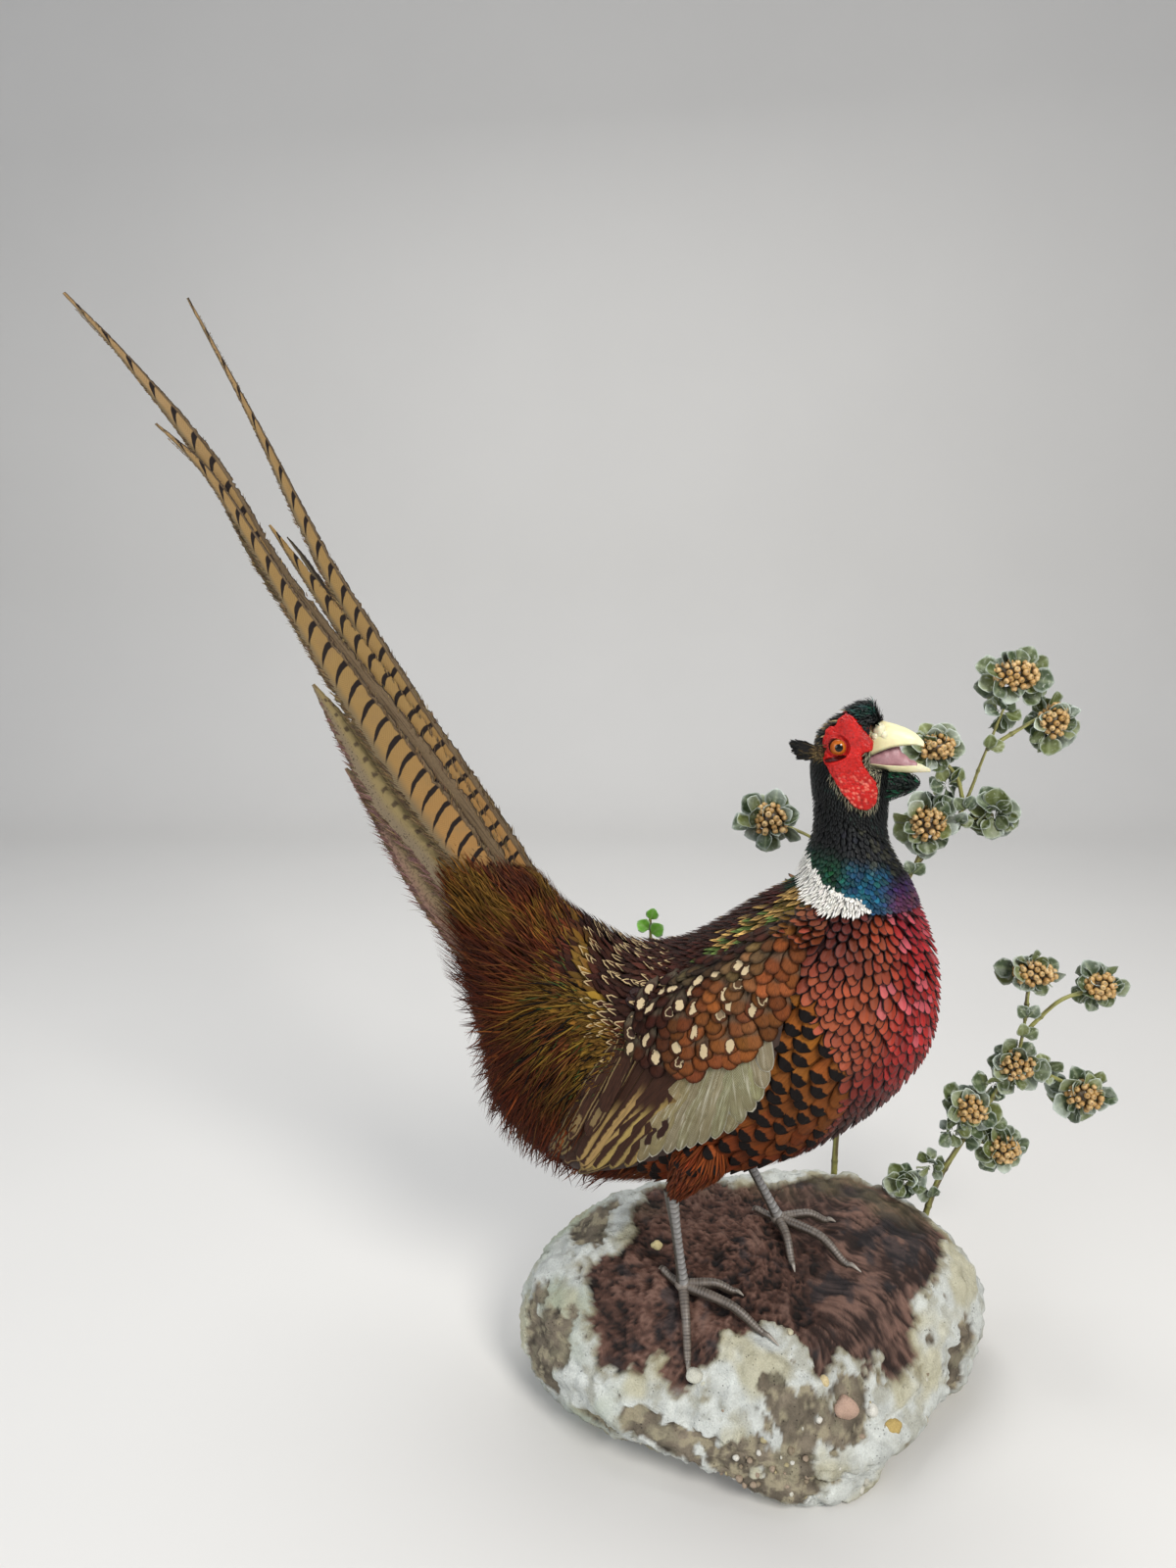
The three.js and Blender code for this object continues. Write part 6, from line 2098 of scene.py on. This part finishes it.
def make_leg(name, skin, horn_skin):
    """A leg and its toes with their plates and scales, and the claws."""
    ankle, foot, toes = LEGS[name]
    ankle, joint = np.array(ankle, float), on_rock(*foot, 5.7)
    shin = joint - ankle
    limbs, claws = Pile(), Pile()
    knots = [(*(ankle + shin * share), radius) for share, radius in (
        (-.1, 4.1), (.02, 4.0), (.3, 3.1), (.6, 2.9), (.85, 3.2))]
    knots += [(*joint, 3.9), (*(joint + shin * .03), 2.6)]
    limbs.add(*limb(knots, (0, len(knots) - 1), 190, 40, [1.0, -.25, .2],
                    scute_pattern(3.5, .38, .1)))
    for k, (x, y, arch, lift) in enumerate(toes):
        def reach(share, up):
            return on_rock(foot[0] + share * x, foot[1] + share * y, up)
        middle, pad = reach(.5, 2.7 + arch), reach(.8, 1.62 + lift)
        tip = reach(1, .5 + .5 * lift)
        back_toe = k == 3
        start = joint - [0, 0, .6 if back_toe else .2]
        knots = [(*start, 3.0 if back_toe else 3.4), (*middle, 2.1 if back_toe else 2.65),
                 (*pad, 2.1), (*(tip + [0, 0, .6]), .5)]
        length = math.hypot(x, y)
        limbs.add(*limb(knots, (0, 2.22), int(length * 1.5) + 24, 28, [0, 0, 1.0], toe_pattern))
        horn_knots = [(*knots[1][:3], 2), (*(np.array(pad) + [0, 0, .25]), 1.85),
                      (*((pad + tip) / 2 + [0, 0, 1.3]), 1.35), (*tip, .3),
                      (*(tip - [0, 0, 1]), .1)]
        claws.add(*limb(horn_knots, (1, 3), 26, 18, [0, 0, 1.0], claw_pattern))
    q, t, ball = sphere(22, 30)
    grains, _ = domes(t * 4, q * 4, 1.2, 77)
    points, groups = ring_solid(ball * (1 + .04 * grains)[..., None] * (5.0, 4.8, 3.9) + joint)
    limbs.add(points, groups, capped(rgb("6c635a") * (.7 + .5 * grains)[..., None]))
    limbs.make(f"leg_{name}_scaled", skin, "leg_scales", replaces=[f"leg_{name}"])
    claws.make(f"claws_{name}", horn_skin, "leg_scales")


def leg_look():
    look = Look("legs", Roughness=.34, Specular_IOR_Level=.55)
    tint, _ = look.tint()
    grime = look.noise(160, 4)
    colour = look.mix(grime.ramp(.5, .75) * .5, shade(look, tint, grime * .5 + .75),
                      (.09, .075, .055))
    return look.finish(colour, rough=grime * .3 + .25, bump=look.noise(1600, 3), height=.0002)


def claw_look():
    look = Look("claws", Roughness=.3, Specular_IOR_Level=.5)
    tint, _ = look.tint()
    streak = look.noise(700, 3, look.place((.3, .3, 1)))
    return look.finish(shade(look, tint, streak * .6 + .7), bump=streak, height=.0002)


legs_look, claws_look = leg_look(), claw_look()
for leg_name in LEGS:
    make_leg(leg_name, legs_look, claws_look)


# ---------------------------------------------------------------- sprigs

# Stem lines, clusters as centre and half sizes, which cluster has leaves alone, and the radius
# of the first line's foot and of the others'.
SPRIGS = {
    "tall": ([[(71, 62, 96), (73, 62, 160), (87, 62, 253), (113, 62, 330), (141, 61, 367),
               (157, 60, 415), (172, 60, 460)],
              [(113, 62, 330), (119, 61, 348), (120, 60, 368)],
              [(146, 61, 376), (140, 60, 398), (126, 60, 414)],
              [(158, 60, 418), (176, 60, 430), (192, 60, 440)],
              [(92, 62, 268), (78, 62, 318), (50, 61, 352), (20, 60, 367)],
              [(141, 61, 367), (156, 60, 371), (166, 60, 373)]],
             [((173, 60, 467), (30, 22, 19)), ((200, 60, 437), (18, 18, 21)),
              ((124, 60, 419), (23, 17, 15)), ((121, 60, 366), (23, 18, 22)),
              ((167, 60, 374), (17, 14, 20)), ((14, 60, 369), (25, 18, 20))], 5, 2.3, 1.5),
    "low": ([[(129, 34, 78), (138, 34, 112), (154, 35, 144), (176, 35, 184), (187, 35, 210),
              (190, 35, 238)],
             [(154, 35, 144), (168, 35, 142), (182, 35, 138)],
             [(184, 35, 204), (212, 35, 192), (232, 35, 182)],
             [(188, 35, 222), (212, 35, 248), (236, 35, 256)],
             [(190, 35, 236), (190, 35, 254), (192, 35, 266)],
             [(134, 34, 100), (124, 34, 106), (116, 34, 110)]],
            [((186, 35, 200), (22, 18, 18)), ((157, 35, 168), (21, 17, 17)),
             ((182, 35, 137), (20, 17, 17)), ((235, 35, 178), (23, 18, 19)),
             ((192, 35, 268), (27, 16, 14)), ((238, 35, 258), (19, 16, 17)),
             ((116, 34, 110), (18, 13, 12))], 7, 2.3, 1.5),
    "green": ([[(-58, 62, 78), (-60, 70, 160), (-64, 73, 240), (-66, 73, 294)]],
              [((-66, 73, 294), (9, 7, 9))], 1, 1.6, 1.6),
}
LEAFY_NODES = {
    "tall": [(134, 60, 393), (95, 61, 284), (166, 59, 444), (74, 60, 180)],
    "low": [(169, 34, 154), (172, 34, 186), (206, 34, 196), (146, 34, 150), (133, 33, 124)],
}
LEAF_GREENS = ("46522a", "56602e", "36462a", "68703a", "3f4d2e")
FRESH_GREEN = "6fae3c"
TO_FRONT = np.array([0, -.88, .48])
sprig_random = np.random.default_rng(83)


def leaf(foot, way, face, length, wide, cup, rows=13, across=9):
    """One thick, cupped leaf with a scalloped edge, and how far each point is from its rim."""
    way = unit(way)
    side = unit(np.cross(way, face))
    face = np.cross(side, way)
    s = np.linspace(0, 1, rows)[:, None]
    q = np.linspace(-1, 1, across)[None]
    blade = np.sin(math.pi * np.clip(s, 0, 1)**1.35)**.72
    stalk = .09 + .91 * step(s, .06, .35)
    half = wide * np.clip(blade * stalk, .03, 1) * (1 + .09 * np.abs(np.sin(s * math.pi * 3.6)))
    bow = cup * length * (s**2 * .8 - .15)
    trough = np.abs(q)**1.6 * half * .32
    ripple = .35 * np.sin(s * 15 + q * 3) * np.abs(q)
    centre = foot + way * (s * length)[..., None]
    top = centre + side * (q * half)[..., None] + face * (trough - bow + ripple)[..., None]
    thick = face * (.22 + .25 * (1 - np.abs(q)) * (1 - s * .5))[..., None]
    rings = np.concatenate([top, (top - thick)[:, ::-1]], 1)
    vein = np.exp(-(q / .13)**2) + .5 * np.exp(-(np.sin((s * 5 - np.abs(q)) * math.pi) / .3)**2)
    rim = np.minimum(1 - np.abs(q), 1 - s) + 0 * s
    shades = np.stack(np.broadcast_arrays(rim, np.clip(vein, 0, 1), s), -1)
    under = shades[:, ::-1] * [1, .5, 1] + [0, 0, 2]
    return rings, np.concatenate([shades, under], 1)


def leaf_tint(shades, green, bloom):
    """Green with paler veins and rim, whitened by a chalky bloom."""
    rim, vein, s = np.moveaxis(shades, -1, 0)
    under = s > 1.5
    tint = blend(green * (.72 + .5 * (s % 2))[..., None], "a9b58c", vein * .28)
    chalk = np.clip(np.exp(-(rim / .07)**2) * .55 + bloom * step(s % 2, .3, 1), 0, .92)
    return blend(tint, "c9d3cb", chalk * (1 - .45 * under))


def add_leaf(pile, foot, way, face, length, wide, cup, fresh=False):
    """Adds a leaf. A fresh one is bright green and has no bloom."""
    rings, shades = leaf(np.asarray(foot, float), way, face, length, wide, cup)
    points, groups = ring_solid(rings)
    green = rgb(FRESH_GREEN if fresh else LEAF_GREENS[sprig_random.integers(5)])
    bloom = 0 if fresh else max(0, sprig_random.normal(.04, .32))
    pile.add(points, groups, capped(leaf_tint(shades, green, bloom)))


def add_berry(pile, place, way, size):
    """Adds a berry that faces a way, with a dark eye at its end."""
    q, t = grid([.22, .6, 1.05, 1.55, 2.1, 2.7], turns(10))
    first = unit(np.cross(way, [.3, .2, 1]))
    second = np.cross(way, first)
    radius = size * (1 + .07 * np.cos(q * 2) - .22 * np.exp(-(q / .3)**2))
    ring = np.sin(q)[..., None] * (np.cos(t)[..., None] * first + np.sin(t)[..., None] * second)
    points, groups = ring_solid(place + radius[..., None] * (ring + np.cos(q)[..., None] * way))
    tint = blend("d0b07a", "ad8648", [sprig_random.random()])
    tint = blend(blend(tint, "664826", step(q, 1.0, 2.4) * .85), "3b2412", np.exp(-(q / .28)**2))
    tint = capped(tint)
    tint[-2] *= .5
    pile.add(points, groups, tint)


def add_umbel(berries, leaves, centre, size):
    """A dome of berries over a ruff of leaves."""
    centre, size = np.array(centre, float), np.array(size, float)
    heart = centre + TO_FRONT * size * .12
    count = int(56 * (size[0] + size[2]) / 40)
    k = np.arange(count) + .5
    polar, turn = np.arccos(1 - 2 * k / count), math.pi * (1 + 5**.5) * k
    ways = pointing(polar, turn)
    for way in ways[(ways * TO_FRONT).sum(-1) > -.12]:
        way = unit(way + sprig_random.normal(0, .07, 3))
        place = heart + way * size * sprig_random.uniform(.41, .54)
        add_berry(berries, place, way, sprig_random.uniform(2.0, 2.5))
    _, _, ball = sphere(12, 18)
    lump = 1 + .1 * rough(ball * 3, 2, 3)
    points, groups = ring_solid(ball * lump[..., None] * size * .38 + heart)
    berries.add(points, groups, rgb("4a3a1e"))
    add_ruff(leaves, centre, size, 26, .3)


def add_ruff(leaves, centre, size, count, start):
    """Leaves round a centre in two layers, from a share start of the way out."""
    centre, size = np.array(centre, float), np.array(size, float)
    for k in range(count):
        turn = 2 * math.pi * (k + sprig_random.uniform(-.35, .35)) / count * 2
        depth = .3 if k < count / 2 else -.45
        way = np.array([math.cos(turn), depth + sprig_random.normal(0, .35), math.sin(turn)])
        reach = 1 / np.sqrt(((way / size)**2).sum()) * sprig_random.uniform(.82, 1.22)
        foot = centre + way * reach * start + [0, 2, 0]
        length = np.clip(reach * (1 - start), 9, 17)
        face = unit(np.array([way[0] * -.25, -1.0, .35]) + sprig_random.normal(0, .5, 3))
        add_leaf(leaves, foot, way, face, length, length * sprig_random.uniform(.38, .52),
                 sprig_random.uniform(-.3, .3))


def make_stem(lines, thick, thin):
    """The stem's lines in one pile, the first thick and the others thin."""
    pile = Pile()
    for k, knots in enumerate(lines):
        first = thin if k else thick
        radii = [first * (1 - .12 * i) for i in range(len(knots))]
        knots = [(*p, r) for p, r in zip(knots, radii)]

        def bark(s, turn, radius):
            rib = .12 * np.sin(turn * 5 + s * .05) + .1 * noise(np.stack([s / 3, turn], -1), 5)
            node = .45 * np.exp(-(((s + 9 * k) % 31 - 15) / 1.1)**2)
            stain = step(noise(np.stack([s / 14, turn * .7], -1), 7 + k), -.1, .7)
            tint = blend("8b8a4b", "5c5330", stain)
            return rib + node, tint * (1 - .4 * (node / .45))[..., None]
        pile.add(*limb(knots, (0, len(knots) - 1), 34 * len(knots), 12, [0.0, 1.0, 0.0], bark))
    return pile


def make_sprig(name, wood, fruit, green, fresh_green):
    """One sprig: its wood, and the berries and leaves of all its clusters."""
    lines, clusters, leafy, thick, thin = SPRIGS[name]
    fresh = name == "green"
    make_stem(lines, thick, thin).make(f"sprig_{name}_wood", wood, "stem", axes="world",
                                       replaces=[f"sprig_{name}_stem"])
    berries, leaves = Pile(), Pile()
    with_berries = []
    for k, (centre, size) in enumerate(clusters, 1):
        if fresh:
            for down, way, length in ((2, (.25, -.2, 1), 10.5), (9, (-.8, -.25, .7), 12),
                                      (12, (.6, -.35, .6), 13)):
                add_leaf(leaves, np.array(centre) - [0, 0, down], way, [0, -1, .4], length,
                         length * .42, .1, True)
        elif k == leafy:
            add_ruff(leaves, centre, size, 26, .1)
        else:
            add_umbel(berries, leaves, centre, size)
            with_berries.append(f"sprig_{name}_cluster_{k}")
    for centre in LEAFY_NODES.get(name, []):
        add_ruff(leaves, centre, (14, 12, 14), 9, .1)
    for line in lines[1:]:
        fork, after = np.array(line[0], float), np.array(line[1], float)
        for turn in (-1, 1):
            way = unit(after - fork) + np.array([turn * .8, -.35, .2])
            add_leaf(leaves, fork + [0, -1.5, 0], way, [0, -1, .3], 12, 4.6, .2)
    if with_berries:
        berries.make(f"sprig_{name}_berries", fruit, "berries", axes="world",
                     replaces=with_berries)
    leaves.make(f"sprig_{name}_leaves", fresh_green if fresh else green,
                "fresh_leaf" if fresh else "leaves", axes="world",
                replaces=[f"sprig_{name}_cluster_{leafy}"])


def plant_look(name, roughness, speck, grain, **settings):
    """A speckled, slightly dusty material for a part of the sprigs."""
    look = Look(name, Roughness=roughness, **settings)
    tint, _ = look.tint()
    dust = look.noise(420, 4)
    colour = look.mix(dust.ramp(.56, .74) * speck, shade(look, tint, dust * .6 + .7),
                      (.5, .52, .46))
    return look.finish(colour, rough=dust * .2 + (roughness - .1), bump=look.noise(grain, 3))


wood_look = plant_look("stem", .5, .12, 900)
berry_look = plant_look("berries", .38, .12, 1200, Subsurface_Weight=.1, Subsurface_Scale=.002)
foliage_look = plant_look("leaves", .45, .5, 800)
fresh_look = plant_look("fresh_leaf", .4, .05, 800)
for sprig_name in SPRIGS:
    make_sprig(sprig_name, wood_look, berry_look, foliage_look, fresh_look)


# ---------------------------------------------------------------- room, light and camera


def make_room():
    """A grey floor that bends up into the wall behind."""
    floor_mesh = bpy.data.meshes.new("floor")
    near, far, side, rise, bend = -2.2, 1.9, 3.0, 2.6, .5
    profile = [(near, 0)] + [(far - bend + bend * math.sin(k), bend - bend * math.cos(k))
                             for k in np.linspace(0, math.pi / 2, 12)] + [(far, rise)]
    points = [(x, y, z) for y, z in profile for x in (-side, side)]
    faces = [(2 * k, 2 * k + 1, 2 * k + 3, 2 * k + 2) for k in range(len(profile) - 1)]
    floor_mesh.from_pydata(points, [], faces)
    floor_mesh.shade_smooth()
    floor = bpy.data.objects.new("floor", floor_mesh)
    bpy.context.scene.collection.objects.link(floor)
    look = Look("floor", Roughness=.85)
    floor_mesh.materials.append(look.finish(shade(look, (.62, .61, .585),
                                                  look.noise(3, 2) * .06 + .97)))


def area_light(name, place, target, size, power, colour):
    """A round lamp at a place, turned to a target."""
    data = bpy.data.lights.new(name, "AREA")
    data.shape, data.size, data.energy, data.color = "DISK", size, power, colour
    lamp = bpy.data.objects.new(name, data)
    lamp.location = place
    way = np.array(target) - np.array(place)
    lamp.rotation_euler = (math.atan2(math.hypot(way[0], way[1]), -way[2]), 0,
                           math.atan2(way[1], way[0]) - math.pi / 2)
    bpy.context.scene.collection.objects.link(lamp)


def make_light_and_camera():
    area_light("key", (.75, -1.5, 1.6), (0, 0, .3), .8, 38, (1, .97, .93))
    area_light("fill", (-1.4, -1.2, .9), (0, 0, .3), 1.4, 16, (.93, .96, 1))
    area_light("top", (-.1, .5, 1.9), (0, 0, .3), 1.2, 20, (1, 1, 1))
    world = bpy.data.worlds.new("room")
    world.use_nodes = True
    world.node_tree.nodes["Background"].inputs["Color"].default_value = (.86, .9, 1, 1)
    world.node_tree.nodes["Background"].inputs["Strength"].default_value = .38
    bpy.context.scene.world = world
    data = bpy.data.cameras.new("camera")
    data.lens, data.sensor_width, data.sensor_fit = 24.975, 36, "AUTO"
    camera = bpy.data.objects.new("camera", data)
    camera.location = (-.11, -.66, .55)
    camera.rotation_euler = (math.radians(90 - 12.2), 0, 0)
    bpy.context.scene.collection.objects.link(camera)
    bpy.context.scene.camera = camera
    bpy.context.scene.view_settings.view_transform = "Standard"


make_room()
make_light_and_camera()
